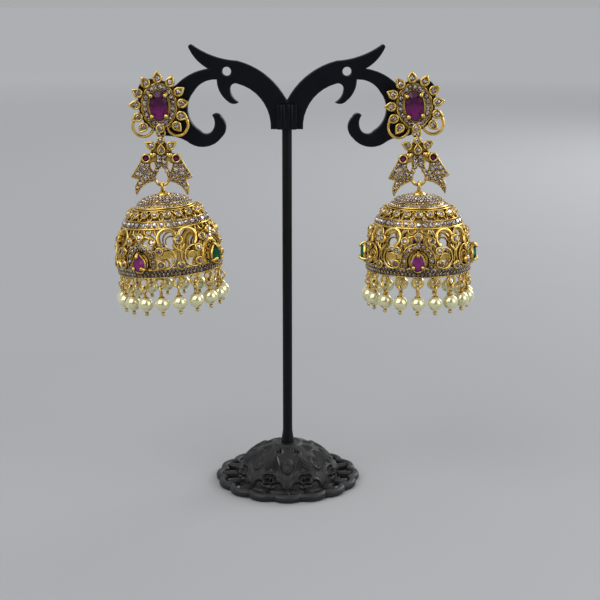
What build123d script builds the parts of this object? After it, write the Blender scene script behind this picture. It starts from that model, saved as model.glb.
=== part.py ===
from build123d import *

import os
from math import cos, hypot, pi, radians, sin, sqrt

# A pair of jhumka earrings hung on a small black scroll stand, in millimetres.
# X runs to the right, Y to the back and Z up. The origin is the centre of the
# stand base's underside. Each earring is a stud, a peacock link and a pierced
# bell with a fringe of pearls. It is drawn once, in a frame of its own whose
# origin is the centre of the stud's back, and placed on both arms.

os.makedirs("parts", exist_ok=True)

GAP = 0.08  # clearance round a stone in its seat and round a pin in its hole

# --- Stand ---
BASE_REACH = 20.6  # from the axis to the tip of a scallop
BASE_SCALLOPS = 16
SCALLOP_RADIUS = 3.6
SCALLOP_LAYERS = [(0.0, 1.8, 0.0), (1.8, 0.6, 0.5)]  # height, thickness, inset
HILL_RADIUS = 14.4  # the cast hill that the pole stands in
HILL_HEIGHT = 11.2
POLE_RADIUS = 1.35
POLE_SINK = 5.0  # length of the pole inside the base
POLE_TOP = 104.4
ARM_THICKNESS = 3.0
ARM_FOOT_Z = 100.6
SOCKET_WIDTH = 5.4
SOCKET_DEPTH = 5.6
SOCKET_TOP = 107.4
SPARE_HOLE = (16.2, 116.1, 1.2)  # x, z and radius of the spare earring hole in each arm

# --- Where each earring hangs ---
EARRING_X = 34.2
STUD_BACK_Y = -3.4
STUD_Z = 107.2
STUD_ROLL = {"left": 2.0, "right": 6.0}  # the studs have turned a little on their posts
LINK_LEAN = {"left": 0.0, "right": 3.5}  # lean of the links, foot towards +X
BELL_LEAN = {"left": 4.5, "right": 0.5}  # foot of the bell towards +X
BELL_TURN = {"left": -27.0, "right": -5.0}  # turn of the bell about its own axis

# --- Stud and link, in the earring's frame ---
PLATE = 1.1  # thickness of the cast plates
PROUD = 0.7  # how far a petal's rim stands out of its plate
RUBY_WIDTH, RUBY_HEIGHT = 4.9, 8.0
HALO_WIDTH, HALO_HEIGHT = 9.7, 12.1
GALLERY = 0.7  # back plate's edge beyond the halo, which carries the petals
HALO_LINE_WIDTH, HALO_LINE_HEIGHT = 7.45, 10.0  # oval through the halo's stones
HALO_STONES = 20
HALO_STONE = 0.55  # girdle radius
BASKET_DEPTH = 1.75
POST_RADIUS = 0.45
POST_LENGTH = 10.6
PRONG_X, PRONG_Z = 2.15, 3.05
PETAL_RADIUS, PETAL_TIP = 1.2, 1.85
PETAL_STONE = 0.68  # girdle radius
# turn from the top, distance from the ruby's centre
PETALS = [
    (0, 7.3), (28, 6.9), (57, 6.45), (86, 6.2), (116, 6.4), (141, 7.05),
    (219, 7.05), (244, 6.4), (274, 6.2), (303, 6.45), (332, 6.9),
]
STUD_FOOT_Z = -6.05  # the round collet at the foot of the stud
LOOP_X, LOOP_Z, LOOP_RADIUS, LOOP_WIRE = 4.65, -5.35, 2.8, 0.37
HANG_Y = -0.55  # plane of both hinges
HANG_Z = -8.4  # the link hangs from the stud here
STAPLE_RADIUS, STAPLE_WIRE = 1.05, 0.3
LINK_RING, LINK_RING_WIRE = 0.75, 0.26
# x, z, turn and tip of each link petal; a tip of 0 is a round collet
LINK_PETALS = [
    (0, -9.25, 0, 0), (-2.6, -10.65, -62, 1.8), (2.6, -10.65, 62, 1.8), (0, -11.9, 0, 1.7),
]
EYE_X, EYE_Z, EYE_RADIUS, EYE_STONE = 4.1, -14.0, 1.2, 0.82
HEAD_X, HEAD_Z, HEAD_RADIUS = 2.5, -13.2, 0.7  # the two birds' heads
SWING_Z = -21.5  # the bell hangs from the link here
YOKE_RADIUS, YOKE_WIRE = 1.9, 0.35
# right half of the link's plate: the outline down to the tail's root, and the gap by the wing
LINK_EDGE = [
    (0, -9.4), (0.85, -9.6), (2.1, -11.0), (2.95, -12.8), (4.1, -13.0), (5.15, -13.9),
    (8.3, -19.25), (6.35, -19.9),
]
LINK_GAP = [(1.95, -14.95), (3.15, -15.5), (2.95, -16.7), (2.3, -17.9), (1.55, -16.4)]

# --- Bell, in its own frame: rim at height 0 ---
BELL_RADIUS = 14.1
BELL_SKIRT = 4.2  # straight stretch above the rim
BELL_RISE = 16.1  # height of the elliptical dome above the skirt
BELL_WALL = 1.0
DOME_RINGS = 12
BELL_HANG = BELL_SKIRT + BELL_RISE + 2.6  # height of the hinge
BAIL_RING, BAIL_WIRE = 0.95, 0.4
BAIL_STEM = 0.55
QUARTERS = (0, 90, 180, 270)
HOOPS = [(0.55, 0.42), (2.55, 0.3), (12.85, 0.3), (17.3, 0.35)]  # height, wire radius
CROWN_COLLETS = 20
CROWN_HEIGHT = 16.0
COLLET_PROUD = 0.7
COLLET_STONE = 0.66  # girdle radius
# azimuth from the middle of a motif, height, radius of the collet, and if it holds a stone
COLLETS = [
    (0, 10.8, 1.15, True), (15, 9.6, 1.15, True), (-15, 9.6, 1.15, True),
    (23, 7.1, 1.15, True), (-23, 7.1, 1.15, True), (45, 9.7, 1.3, True),
    (45, 3.0, 1.2, True), (24, 3.6, 1.2, False), (-24, 3.6, 1.2, False),
]
# azimuth, height, half width and half height of each window through the wall
WINDOWS = [
    (9.5, 11.85, 0.9, 0.4), (-9.5, 11.85, 0.9, 0.4), (22.5, 11.2, 0.6, 0.75),
    (-22.5, 11.2, 0.6, 0.75), (31.5, 9.9, 1.5, 1.4), (-31.5, 9.9, 1.5, 1.4),
    (31, 5.5, 1.1, 1.1), (-31, 5.5, 1.1, 1.1), (45, 6.3, 0.75, 1.5),
    (17.5, 5.0, 0.45, 0.85), (-17.5, 5.0, 0.45, 0.85),
]
PEAR_HEIGHT_ON_BELL = 4.2
PEAR_WIDTH, PEAR_LENGTH = 3.3, 4.6
PEAR_RIM = 0.3
PEAR_LIFT = 0.75  # girdle of a pear stone above the wall

# --- Pearl fringe, in the bell's frame ---
DROPS = 18
FRINGE_RADIUS = BELL_RADIUS - BELL_WALL / 2
EYELET_RING, EYELET_WIRE = 1.2, 0.25
EYELET_Z = -1.3
PIN_RING, PIN_WIRE = 1.0, 0.2
PIN_PLAY = 0.1  # below the pin's ring, where it hangs on its eyelet
PEARL_RADIUS = 2.05
PEARL_Z = -7.2
PIN_BALL = 0.5


# --- Helpers ---
def cut_stone(points, crown, pavilion, table=0.58, culet=0.45):
    """A faceted stone whose girdle is the given outline, at height 0: one crown and
    one pavilion facet for each side of the outline, a table and a flat culet."""
    with BuildPart() as stone:
        for scale, height in ((culet, -pavilion), (1.0, 0.0), (table, crown)):
            with BuildSketch(Plane.XY.offset(height)):
                Polygon(*[(x * scale, y * scale) for x, y in points], align=None)
        loft(ruled=True)
    return stone.part


def oval(width, height, sides):
    """Points of an even-sided oval outline."""
    turns = [2 * pi * (i + 0.5) / sides for i in range(sides)]
    return [(width / 2 * sin(t), height / 2 * cos(t)) for t in turns]


def pear(width, length, sides=12):
    """Points of a pear outline with its point up: an ellipse narrowed towards the top."""
    points = []
    for i in range(sides):
        turn = 2 * pi * i / sides
        narrowing = 1 - 0.55 * max(0.0, cos(turn)) ** 2
        points.append((width / 2 * sin(turn) * narrowing, length / 2 * cos(turn)))
    return points


def teardrop(radius, tip):
    """Draws a circle with two tangents that meet at a tip in +Y."""
    touch_y = radius * radius / tip
    touch_x = sqrt(radius * radius - touch_y * touch_y)
    Circle(radius)
    Polygon((-touch_x, touch_y), (0, tip), (touch_x, touch_y), align=None)


def front(x, z, y=0.0, turn=0.0):
    """A plane that faces the front at a point, turned clockwise from upright."""
    a = radians(turn)
    return Plane(origin=(x, y, z), x_dir=(cos(a), 0, -sin(a)), z_dir=(0, -1, 0))


def bell_radius(height):
    """Outer radius of the bell's wall at a height above the rim."""
    rise = max(0.0, height - BELL_SKIRT) / BELL_RISE
    return BELL_RADIUS * sqrt(1 - rise * rise)


def dome(inset):
    """Points up a quarter of the dome's ellipse, set in by the wall's thickness: the
    dome is a stack of cone rings, spun like the real one."""
    turns = [radians(90 * i / DOME_RINGS) for i in range(DOME_RINGS)]
    points = [
        ((BELL_RADIUS - inset) * cos(t), BELL_SKIRT + (BELL_RISE - inset) * sin(t)) for t in turns
    ]
    return [*points, (0, BELL_SKIRT + BELL_RISE - inset)]


def on_bell(azimuth, height, lift=0.0, turn=0.0):
    """A plane on the bell's wall: its Z is the wall's outward normal and its Y runs up
    the wall, turned anticlockwise. Azimuth 0 faces the front and grows towards +X."""
    a, r = radians(azimuth), bell_radius(height)
    across, up = r / BELL_RADIUS**2, max(0.0, height - BELL_SKIRT) / BELL_RISE**2
    across, up = across / hypot(across, up), up / hypot(across, up)
    wall = Plane(
        origin=((r + lift * across) * sin(a), -(r + lift * across) * cos(a), height + lift * up),
        x_dir=(cos(a), sin(a), 0),
        z_dir=(across * sin(a), -across * cos(a), up),
    )
    return wall.rotated((0, 0, turn))


def each_quarter(azimuth, height, lift=0.0, turn=0.0):
    """The same place on the wall in each quarter of the bell."""
    return [on_bell(azimuth + quarter, height, lift, turn) for quarter in QUARTERS]


LOW = (Align.CENTER, Align.CENTER, Align.MIN)

# --- Stand: base, pole and arms ---
with BuildPart() as stand_base:
    for height, thickness, inset in SCALLOP_LAYERS:
        with BuildSketch(Plane.XY.offset(height)):
            Circle(HILL_RADIUS + 1)
            with PolarLocations(BASE_REACH - SCALLOP_RADIUS, BASE_SCALLOPS, start_angle=11.25):
                Circle(SCALLOP_RADIUS - inset)
        extrude(amount=thickness)
    with BuildSketch():
        with PolarLocations(BASE_REACH - SCALLOP_RADIUS - 0.4, BASE_SCALLOPS, start_angle=11.25):
            Ellipse(1.75, 1.6)
    extrude(amount=10, mode=Mode.SUBTRACT)
    with BuildSketch(Plane.XZ):
        with BuildLine():
            EllipticalCenterArc((0, 0), HILL_RADIUS, HILL_HEIGHT, arc_size=90)
            Polyline((0, HILL_HEIGHT), (0, 0), (HILL_RADIUS, 0))
        make_face()
    revolve(axis=Axis.Z)
    with Locations((0, 0, HILL_HEIGHT - POLE_SINK)):
        Cylinder(POLE_RADIUS + GAP / 2, POLE_SINK + 1, align=LOW, mode=Mode.SUBTRACT)

with BuildPart() as stand_pole:
    with BuildSketch(Plane.XY.offset(HILL_HEIGHT - POLE_SINK + GAP)):
        Circle(POLE_RADIUS)
    extrude(amount=POLE_TOP - HILL_HEIGHT + POLE_SINK - GAP)
    with Locations((0, 0, HILL_HEIGHT + GAP)):
        Cone(POLE_RADIUS + 0.5, POLE_RADIUS, 3.5, align=LOW)

with BuildPart() as stand_arms:
    with BuildSketch(Plane.XZ):
        with BuildLine():
            # upper edge out to the horn
            ThreePointArc((0, 108.4), (5, 114.6), (13.4, 118.9))
            ThreePointArc((13.4, 118.9), (19.9, 120.2), (25.3, 123))
            ThreePointArc((25.3, 123), (26.2, 123.1), (26.3, 122.2))
            ThreePointArc((26.3, 122.2), (24.4, 119.3), (21.2, 116.8))
            # back of the hook and the pad behind the stud
            ThreePointArc((21.2, 116.8), (26.1, 115.3), (29.8, 112.6))
            ThreePointArc((29.8, 112.6), (32.3, 111.9), (34.6, 113.3))
            ThreePointArc((34.6, 113.3), (38.8, 113.5), (40.2, 109.7))
            ThreePointArc((40.2, 109.7), (38.3, 102.6), (33, 98.8))
            ThreePointArc((33, 98.8), (29.8, 98.4), (27.2, 97.3))
            # curl of the hook
            ThreePointArc((27.2, 97.3), (22.3, 95.8), (17.8, 98.3))
            ThreePointArc((17.8, 98.3), (16.5, 101.3), (17.7, 103.9))
            ThreePointArc((17.7, 103.9), (19.1, 104.9), (20.3, 104.4))
            ThreePointArc((20.3, 104.4), (19.6, 102.2), (20.4, 100.1))
            ThreePointArc((20.4, 100.1), (21.9, 99.3), (23.5, 100.1))
            ThreePointArc((23.5, 100.1), (26.9, 105.4), (25.2, 110.6))
            ThreePointArc((25.2, 110.6), (22.6, 113.1), (18.9, 113.9))
            # barb under the arm and the lower edge back to the foot
            ThreePointArc((18.9, 113.9), (18.2, 110.8), (16.1, 108.2))
            ThreePointArc((16.1, 108.2), (14.5, 107.4), (13, 107.8))
            ThreePointArc((13, 107.8), (14.7, 109.4), (15.3, 111.4))
            ThreePointArc((15.3, 111.4), (14.7, 112.6), (13.3, 112.8))
            ThreePointArc((13.3, 112.8), (7.5, 109.3), (4.4, ARM_FOOT_Z))
            Polyline((4.4, ARM_FOOT_Z), (0, ARM_FOOT_Z), (0, 108.4))
        make_face()
        with Locations(SPARE_HOLE[:2]):
            Circle(SPARE_HOLE[2], mode=Mode.SUBTRACT)
        with Locations((EARRING_X, STUD_Z)):
            Circle(POST_RADIUS + GAP, mode=Mode.SUBTRACT)
        mirror(about=Plane.YZ)
    extrude(amount=ARM_THICKNESS / 2, both=True)
    with Locations((0, 0, ARM_FOOT_Z)):
        Box(SOCKET_WIDTH, SOCKET_DEPTH, SOCKET_TOP - ARM_FOOT_Z, align=LOW)
        Cylinder(POLE_RADIUS + GAP / 2, POLE_TOP + GAP - ARM_FOOT_Z, align=LOW, mode=Mode.SUBTRACT)

# --- Stud ---
petal_places = [
    Location((d * sin(radians(turn)), d * cos(radians(turn)), 0), (0, 0, -turn))
    for turn, d in PETALS
]
halo_line = EllipticalCenterArc((0, 0), HALO_LINE_WIDTH / 2, HALO_LINE_HEIGHT / 2, arc_size=360)
halo_places = [halo_line @ ((i + 0.5) / HALO_STONES) for i in range(HALO_STONES)]

with BuildPart() as stud_setting:
    with BuildSketch(front(0, 0)):
        Ellipse(HALO_WIDTH / 2 + GALLERY, HALO_HEIGHT / 2 + GALLERY)
    extrude(amount=PLATE / 2)
    with BuildSketch(front(0, 0)):
        Ellipse(HALO_WIDTH / 2, HALO_HEIGHT / 2)
    extrude(amount=PLATE + PROUD / 2)
    with BuildSketch(front(0, 0)):
        with Locations(*petal_places):
            teardrop(PETAL_RADIUS, PETAL_TIP)
        with Locations((0, STUD_FOOT_Z)):
            Circle(PETAL_RADIUS - 0.1)
    extrude(amount=PLATE + PROUD)
    with BuildSketch(front(0, 0, -0.3)):
        Ellipse(RUBY_WIDTH / 2 + GAP, RUBY_HEIGHT / 2 + GAP)
    extrude(amount=5, mode=Mode.SUBTRACT)
    with BuildSketch(front(0, 0, -PLATE - PROUD / 2 + 0.45)):
        with Locations(*halo_places):
            Circle(HALO_STONE + GAP)
    extrude(amount=5, mode=Mode.SUBTRACT)
    with BuildSketch(front(0, 0, -PLATE - PROUD + 0.55)):
        with Locations(*petal_places, (0, STUD_FOOT_Z)):
            Circle(PETAL_STONE + GAP)
    extrude(amount=5, mode=Mode.SUBTRACT)
    with Locations(front(LOOP_X, LOOP_Z, -PLATE / 2, 180)):
        Torus(LOOP_RADIUS, LOOP_WIRE, major_angle=250, align=None)
    with Locations(front(-LOOP_X, LOOP_Z, -PLATE / 2, -110)):
        Torus(LOOP_RADIUS, LOOP_WIRE, major_angle=250, align=None)
    for x, z in ((-1, -1), (-1, 1), (1, -1), (1, 1)):
        with Locations(front(x * PRONG_X, z * PRONG_Z, -PLATE)):
            Cylinder(0.33, 1.6, align=LOW)
        with Locations((x * (PRONG_X - 0.25), -PLATE - 1.75, z * (PRONG_Z - 0.35))):
            Sphere(0.45)
    with BuildSketch(front(0, 0)):
        Ellipse(RUBY_WIDTH / 2, RUBY_HEIGHT / 2)
    extrude(amount=-BASKET_DEPTH)
    with BuildSketch(front(0, 0)):
        Circle(POST_RADIUS)
    extrude(amount=-POST_LENGTH)
    with Locations(front(0, HANG_Z + STAPLE_RADIUS, HANG_Y)):
        Torus(STAPLE_RADIUS, STAPLE_WIRE)

ruby_level = -PLATE - 0.55
with BuildPart() as stud_ruby:
    with Locations(front(0, 0, ruby_level)):
        add(cut_stone(oval(RUBY_WIDTH, RUBY_HEIGHT, 12), 0.95, 1.1, table=0.62))

with BuildPart() as stud_halo_stones:
    for place in halo_places:
        with Locations(front(place.X, place.Y, -PLATE - PROUD / 2)):
            add(cut_stone(oval(2 * HALO_STONE, 2 * HALO_STONE, 8), 0.3, 0.35))

with BuildPart() as stud_petal_stones:
    for place in [*petal_places, Location((0, STUD_FOOT_Z, 0))]:
        with Locations(front(place.position.X, place.position.Y, -PLATE - PROUD)):
            add(cut_stone(oval(2 * PETAL_STONE, 2 * PETAL_STONE, 8), 0.35, 0.42))

with BuildPart() as stud_nut:
    nut_face = BASKET_DEPTH + ARM_THICKNESS + 0.3
    with BuildSketch(front(0, 0, nut_face)):
        Circle(2.6)
        Circle(POST_RADIUS + GAP / 2, mode=Mode.SUBTRACT)
    extrude(amount=-1.2)
    with BuildSketch(front(0, 0, nut_face + 1.2)):
        Circle(1.5)
        Circle(POST_RADIUS + GAP / 2, mode=Mode.SUBTRACT)
    extrude(amount=-2.2)

# --- Link: a pair of peacocks back to back ---
with BuildPart() as link_setting:
    with BuildSketch(front(0, 0)):
        with BuildLine():
            Polyline(*LINK_EDGE)
            ThreePointArc((6.35, -19.9), (7.25, -21.85), (7.05, -24.05))
            ThreePointArc((7.05, -24.05), (5.35, -21.55), (1.85, -20.1))
            ThreePointArc((1.85, -20.1), (1.5, -18.45), (0, -16.3))
            Line((0, -16.3), (0, -9.4))
        make_face()
        Polygon(*LINK_GAP, align=None, mode=Mode.SUBTRACT)
        mirror(about=Plane.YZ)
    extrude(amount=PLATE)
    with Locations(front(0, SWING_Z + YOKE_RADIUS, HANG_Y, 180)):
        Torus(YOKE_RADIUS, YOKE_WIRE, major_angle=180, align=None)
    with Locations((0, HANG_Y, HANG_Z + STAPLE_WIRE + GAP - LINK_RING + LINK_RING_WIRE)):
        Torus(LINK_RING, LINK_RING_WIRE, rotation=(0, 90, 0))
    for x, z, turn, tip in LINK_PETALS:
        back = -PLATE + 0.12 if z > HANG_Z - 1.5 else 0
        with BuildSketch(front(x, z, back, turn)):
            if tip:
                teardrop(PETAL_RADIUS - 0.1, tip)
            else:
                Circle(PETAL_RADIUS - 0.3)
        extrude(amount=PLATE + PROUD + back)
        with Locations(front(x, z, -PLATE - PROUD + 0.5)):
            Cylinder(PETAL_STONE - 0.06 + GAP, 2, align=LOW, mode=Mode.SUBTRACT)
    for side in (-1, 1):
        with Locations(front(side * EYE_X, EYE_Z)):
            Cylinder(EYE_RADIUS, PLATE + PROUD + 0.2, align=LOW)
        with Locations(front(side * EYE_X, EYE_Z, -PLATE - PROUD + 0.5)):
            Cylinder(EYE_STONE + GAP, 2, align=LOW, mode=Mode.SUBTRACT)
        with Locations((side * HEAD_X, -PLATE, HEAD_Z)):
            Sphere(HEAD_RADIUS)

with BuildPart() as link_rubies:
    for side in (-1, 1):
        with Locations(front(side * EYE_X, EYE_Z, -PLATE - PROUD)):
            add(cut_stone(oval(2 * EYE_STONE, 2 * EYE_STONE, 8), 0.42, 0.42))

with BuildPart() as link_petal_stones:
    for x, z, turn, tip in LINK_PETALS:
        with Locations(front(x, z, -PLATE - PROUD)):
            add(cut_stone(oval(2 * PETAL_STONE - 0.12, 2 * PETAL_STONE - 0.12, 8), 0.33, 0.4))

# --- Bell ---
crown_turns = [360 * i / CROWN_COLLETS for i in range(CROWN_COLLETS)]
drop_turns = [360 * i / DROPS for i in range(DROPS)]
with BuildPart() as bell:
    with BuildSketch(Plane.XZ):
        with BuildLine():
            Polyline(
                (BELL_RADIUS, 0),
                *dome(0),
                *reversed(dome(BELL_WALL)),
                (BELL_RADIUS - BELL_WALL, 0),
                close=True,
            )
        make_face()
        for height, wire in HOOPS:
            with Locations((bell_radius(height), height)):
                Circle(wire)
    revolve(axis=Axis.Z)
    for azimuth, height, half_width, half_height in WINDOWS:
        with BuildSketch(*each_quarter(azimuth, height)):
            Ellipse(half_width, half_height)
        extrude(amount=2.5, both=True, mode=Mode.SUBTRACT)
    with Locations(*[on_bell(turn, CROWN_HEIGHT, -0.8) for turn in crown_turns]):
        Cylinder(1.0, 0.8 + COLLET_PROUD, align=LOW)
    for azimuth, height, radius, holds_stone in COLLETS:
        with Locations(*each_quarter(azimuth, height, -0.8)):
            Cylinder(radius, 0.8 + COLLET_PROUD, align=LOW)
    with BuildSketch(*each_quarter(0, PEAR_HEIGHT_ON_BELL, -0.8)):
        Polygon(*pear(PEAR_WIDTH + 2 * PEAR_RIM, PEAR_LENGTH + 2 * PEAR_RIM, 24), align=None)
    extrude(amount=0.8 + PEAR_LIFT)
    with BuildSketch(*each_quarter(0, PEAR_HEIGHT_ON_BELL, 0.1)):
        Polygon(*pear(PEAR_WIDTH + 2 * GAP, PEAR_LENGTH + 2 * GAP), align=None)
    extrude(amount=3, mode=Mode.SUBTRACT)
    seat_places = [on_bell(turn, CROWN_HEIGHT, 0.2) for turn in crown_turns]
    for azimuth, height, radius, holds_stone in COLLETS:
        seat_places += each_quarter(azimuth, height, 0.2)
    with Locations(*seat_places):
        Cylinder(COLLET_STONE + GAP, 2, align=LOW, mode=Mode.SUBTRACT)
    with Locations(*[on_bell(turn, EYELET_Z, -BELL_WALL / 2) for turn in drop_turns]):
        Torus(EYELET_RING, EYELET_WIRE)
    with Locations((0, 0, BELL_RISE)):
        Cylinder(BAIL_STEM + GAP, 2 * BELL_SKIRT + 1, align=LOW, mode=Mode.SUBTRACT)

top = BELL_SKIRT + BELL_RISE
with BuildPart() as bell_bail:
    with BuildSketch(Plane.XZ):
        with BuildLine():
            Polyline(
                (0, top - 1.8), (1.3, top - 1.8), (1.3, top - 1.2), (BAIL_STEM, top - 1.2),
                (BAIL_STEM, top + 0.1), (1.9, top + 0.1), (1.6, top + 0.5), (0.6, top + 1.2),
                (0.5, top + 1.7), (0, top + 1.7), (0, top - 1.8),
            )
        make_face()
    revolve(axis=Axis.Z)
    with Locations((0, 0, BELL_HANG + YOKE_WIRE + GAP - BAIL_RING + BAIL_WIRE)):
        Torus(BAIL_RING, BAIL_WIRE, rotation=(0, 90, 0))

pear_stone = cut_stone(pear(PEAR_WIDTH, PEAR_LENGTH), 0.95, 0.55, table=0.6)
pear_stones = {}
pear_turns = {"ruby_front": 0, "emerald_right": 90, "ruby_back": 180, "emerald_left": 270}
for name, azimuth in pear_turns.items():
    with BuildPart() as pear_stones[name]:
        with Locations(on_bell(azimuth, PEAR_HEIGHT_ON_BELL, PEAR_LIFT)):
            add(pear_stone)

white_stone = cut_stone(oval(2 * COLLET_STONE, 2 * COLLET_STONE, 8), 0.35, 0.42)
with BuildPart() as crown_stones:
    with Locations(*[on_bell(turn, CROWN_HEIGHT, COLLET_PROUD) for turn in crown_turns]):
        add(white_stone)

with BuildPart() as motif_stones:
    for azimuth, height, radius, holds_stone in COLLETS:
        if holds_stone:
            with Locations(*each_quarter(azimuth, height, COLLET_PROUD)):
                add(white_stone)

# --- Pearl fringe ---
pin_top = EYELET_Z - EYELET_RING + EYELET_WIRE + PIN_PLAY  # inside of the pin's ring
ball_z = PEARL_Z - PEARL_RADIUS - PIN_PLAY - PIN_BALL
with BuildPart() as one_pin:
    with Locations((0, 0, pin_top - PIN_RING + PIN_WIRE)):
        Torus(PIN_RING, PIN_WIRE, rotation=(90, 0, 0))
    with Locations((0, 0, ball_z)):
        Sphere(PIN_BALL)
        Cylinder(PIN_WIRE, pin_top - 2 * PIN_RING + PIN_WIRE - ball_z, align=LOW)

with BuildPart() as one_pearl:
    with Locations((0, 0, PEARL_Z)):
        Sphere(PEARL_RADIUS)
        Cylinder(PIN_WIRE + 0.1, 3 * PEARL_RADIUS, mode=Mode.SUBTRACT)

with BuildPart() as pearl_pins:
    with PolarLocations(FRINGE_RADIUS, DROPS, start_angle=-90):
        add(one_pin.part)

with BuildPart() as pearls:
    with PolarLocations(FRINGE_RADIUS, DROPS, start_angle=-90):
        add(one_pearl.part)

# --- Placing and writing ---
stand_pieces = {"stand_base": stand_base, "stand_pole": stand_pole, "stand_arms": stand_arms}
for label, piece in stand_pieces.items():
    piece.part.label = label
    export_step(piece.part, f"parts/{label}.step")

stud_pieces = {
    "stud_setting": stud_setting,
    "stud_ruby": stud_ruby,
    "stud_halo_stones": stud_halo_stones,
    "stud_petal_stones": stud_petal_stones,
    "stud_nut": stud_nut,
}
link_pieces = {
    "link_setting": link_setting,
    "link_rubies": link_rubies,
    "link_petal_stones": link_petal_stones,
}
bell_pieces = {
    "bell": bell,
    "crown_stones": crown_stones,
    "motif_stones": motif_stones,
    **{f"bell_{name}": stone for name, stone in pear_stones.items()},
    "pearl_pins": pearl_pins,
    "pearls": pearls,
}
for side, x in (("left", -EARRING_X), ("right", EARRING_X)):
    stud = Location((x, STUD_BACK_Y, STUD_Z), (0, -STUD_ROLL[side], 0))
    hinge = (stud * Location((0, HANG_Y, HANG_Z))).position
    link = Location(tuple(hinge), (0, -LINK_LEAN[side], 0)) * Location((0, -HANG_Y, -HANG_Z))
    hook = (link * Location((0, HANG_Y, SWING_Z))).position
    hung = Location(tuple(hook), (0, -BELL_LEAN[side], 0)) * Location((0, 0, -BELL_HANG))
    turned = hung * Location((0, 0, 0), (0, 0, BELL_TURN[side]))
    placed = [(name, piece.part.moved(stud)) for name, piece in stud_pieces.items()]
    placed += [(name, piece.part.moved(link)) for name, piece in link_pieces.items()]
    placed += [(name, piece.part.moved(turned)) for name, piece in bell_pieces.items()]
    placed.append(("bell_bail", bell_bail.part.moved(hung)))
    for name, piece in placed:
        piece.label = f"{side}_{name}"
        export_step(piece, f"parts/{side}_{name}.step")
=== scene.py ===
import bpy
import numpy as np
from bpy.props import FloatProperty, FloatVectorProperty, PointerProperty
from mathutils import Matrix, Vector
from mathutils.geometry import tessellate_polygon


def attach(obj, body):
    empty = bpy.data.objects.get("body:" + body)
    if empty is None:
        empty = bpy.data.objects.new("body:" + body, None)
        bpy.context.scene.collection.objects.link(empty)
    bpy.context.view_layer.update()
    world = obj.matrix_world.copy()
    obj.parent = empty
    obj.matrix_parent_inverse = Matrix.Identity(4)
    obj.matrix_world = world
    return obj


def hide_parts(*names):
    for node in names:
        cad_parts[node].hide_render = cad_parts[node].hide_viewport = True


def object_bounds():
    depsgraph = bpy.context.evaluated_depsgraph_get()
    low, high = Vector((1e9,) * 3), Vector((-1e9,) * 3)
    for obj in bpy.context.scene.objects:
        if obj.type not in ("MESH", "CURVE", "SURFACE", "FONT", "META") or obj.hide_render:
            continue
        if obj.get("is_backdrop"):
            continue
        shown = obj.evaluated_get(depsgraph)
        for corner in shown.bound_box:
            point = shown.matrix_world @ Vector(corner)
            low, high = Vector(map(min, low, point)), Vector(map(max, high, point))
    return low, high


bl_info = {
    "name": "Jhumka earrings on a scroll stand",
    "version": (1, 0, 0),
    "blender": (4, 5, 0),
    "location": "View3D > Sidebar > Jhumka",
    "description": "Dresses the frame of a jhumka earring pair: settings, openwork, stones, pearls and stand",
    "category": "Add Mesh",
}

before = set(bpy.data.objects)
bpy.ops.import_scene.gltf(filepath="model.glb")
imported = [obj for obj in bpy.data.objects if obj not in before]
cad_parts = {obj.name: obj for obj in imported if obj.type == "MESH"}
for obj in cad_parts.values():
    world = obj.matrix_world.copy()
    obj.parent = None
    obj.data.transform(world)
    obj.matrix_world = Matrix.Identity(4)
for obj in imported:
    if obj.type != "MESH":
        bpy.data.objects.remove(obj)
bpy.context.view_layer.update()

MM = 0.001
SIDES = ("left", "right")

# The frame's own sizes, in millimetres
EARRING_X = {"left": -34.2, "right": 34.2}
STUD_BACK_Y = -3.4
STUD_Z = 107.2
STUD_ROLL = {"left": 2.0, "right": 6.0}
LINK_LEAN = {"left": 0.0, "right": 3.5}
BELL_LEAN = {"left": 4.5, "right": 0.5}
BELL_TURN = {"left": -27.0, "right": -5.0}
HANG_Y = -0.55
HANG_Z = -8.4
SWING_Z = -21.5
BELL_RADIUS = 14.1
BELL_SKIRT = 4.2
BELL_RISE = 16.1
BELL_HANG = 22.9
CAP_EDGE = 17.5
PEAR_LEVEL = 4.2
PLATE = 1.1
PROUD = 0.7
PETAL_FACE = -PLATE - PROUD
DROPS = 18
FRINGE_RADIUS = 13.6
PEARL_RADIUS = 2.05
PEARL_Z = -7.2
PEARL_ROWS, PEARL_COLUMNS = 18, 28
HALO_LINE = (3.72, 5.0)
HALO_STONES = 20
STUD_FOOT_Z = -6.05
LOOP_X, LOOP_Z, LOOP_RADIUS = 4.65, -5.35, 2.8
YOKE_RADIUS = 1.9
CROWN_COLLETS, CROWN_HEIGHT = 20, 16.0
BAND_STONES, BAND_HEIGHT = 40, 13.8
RIM_STONES = 84
COLLET_STONE = 0.78
MOTIF_TOP = 9.35
QUARTER_TURNS = (0, 90, 180, 270)
HILL_RADIUS, HILL_HEIGHT = 14.4, 11.2
SCALLOPS, SCALLOP_REACH, SCALLOP_RADIUS = 16, 15.7, 4.9
ARM_HALF, ARM_BEVEL = 1.5, 0.32
SPARE_HOLE_X, SPARE_HOLE_Z, SPARE_HOLE_RADIUS = 16.2, 116.1, 1.2
HUB_HALF_WIDTH, HUB_HALF_DEPTH, HUB_CORNER = 2.4, 2.8, 0.3
# The stage, in metres, and the camera's turn up from straight down, in degrees
FLOOR_REACH, FLOOR_SIDES = 60, 96
CAMERA_AT = (0.00355, -0.3556, 0.1336)
CAMERA_PITCH = 77.2
SENSOR_WIDTH = 36
# turn from the top and distance from the middle of each petal of the stud
PETALS = np.array(
    [
        (0, 7.3), (28, 6.9), (57, 6.45), (86, 6.2), (116, 6.4), (141, 7.05),
        (219, 7.05), (244, 6.4), (274, 6.2), (303, 6.45), (332, 6.9),
    ]
)
# x, z, turn and tip of each petal of the link; a tip of 0 is a round collet
LINK_PETALS = [(0, -9.25, 0, 0), (-2.6, -10.65, -62, 1.8), (2.6, -10.65, 62, 1.8), (0, -11.9, 0, 1.7)]
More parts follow.
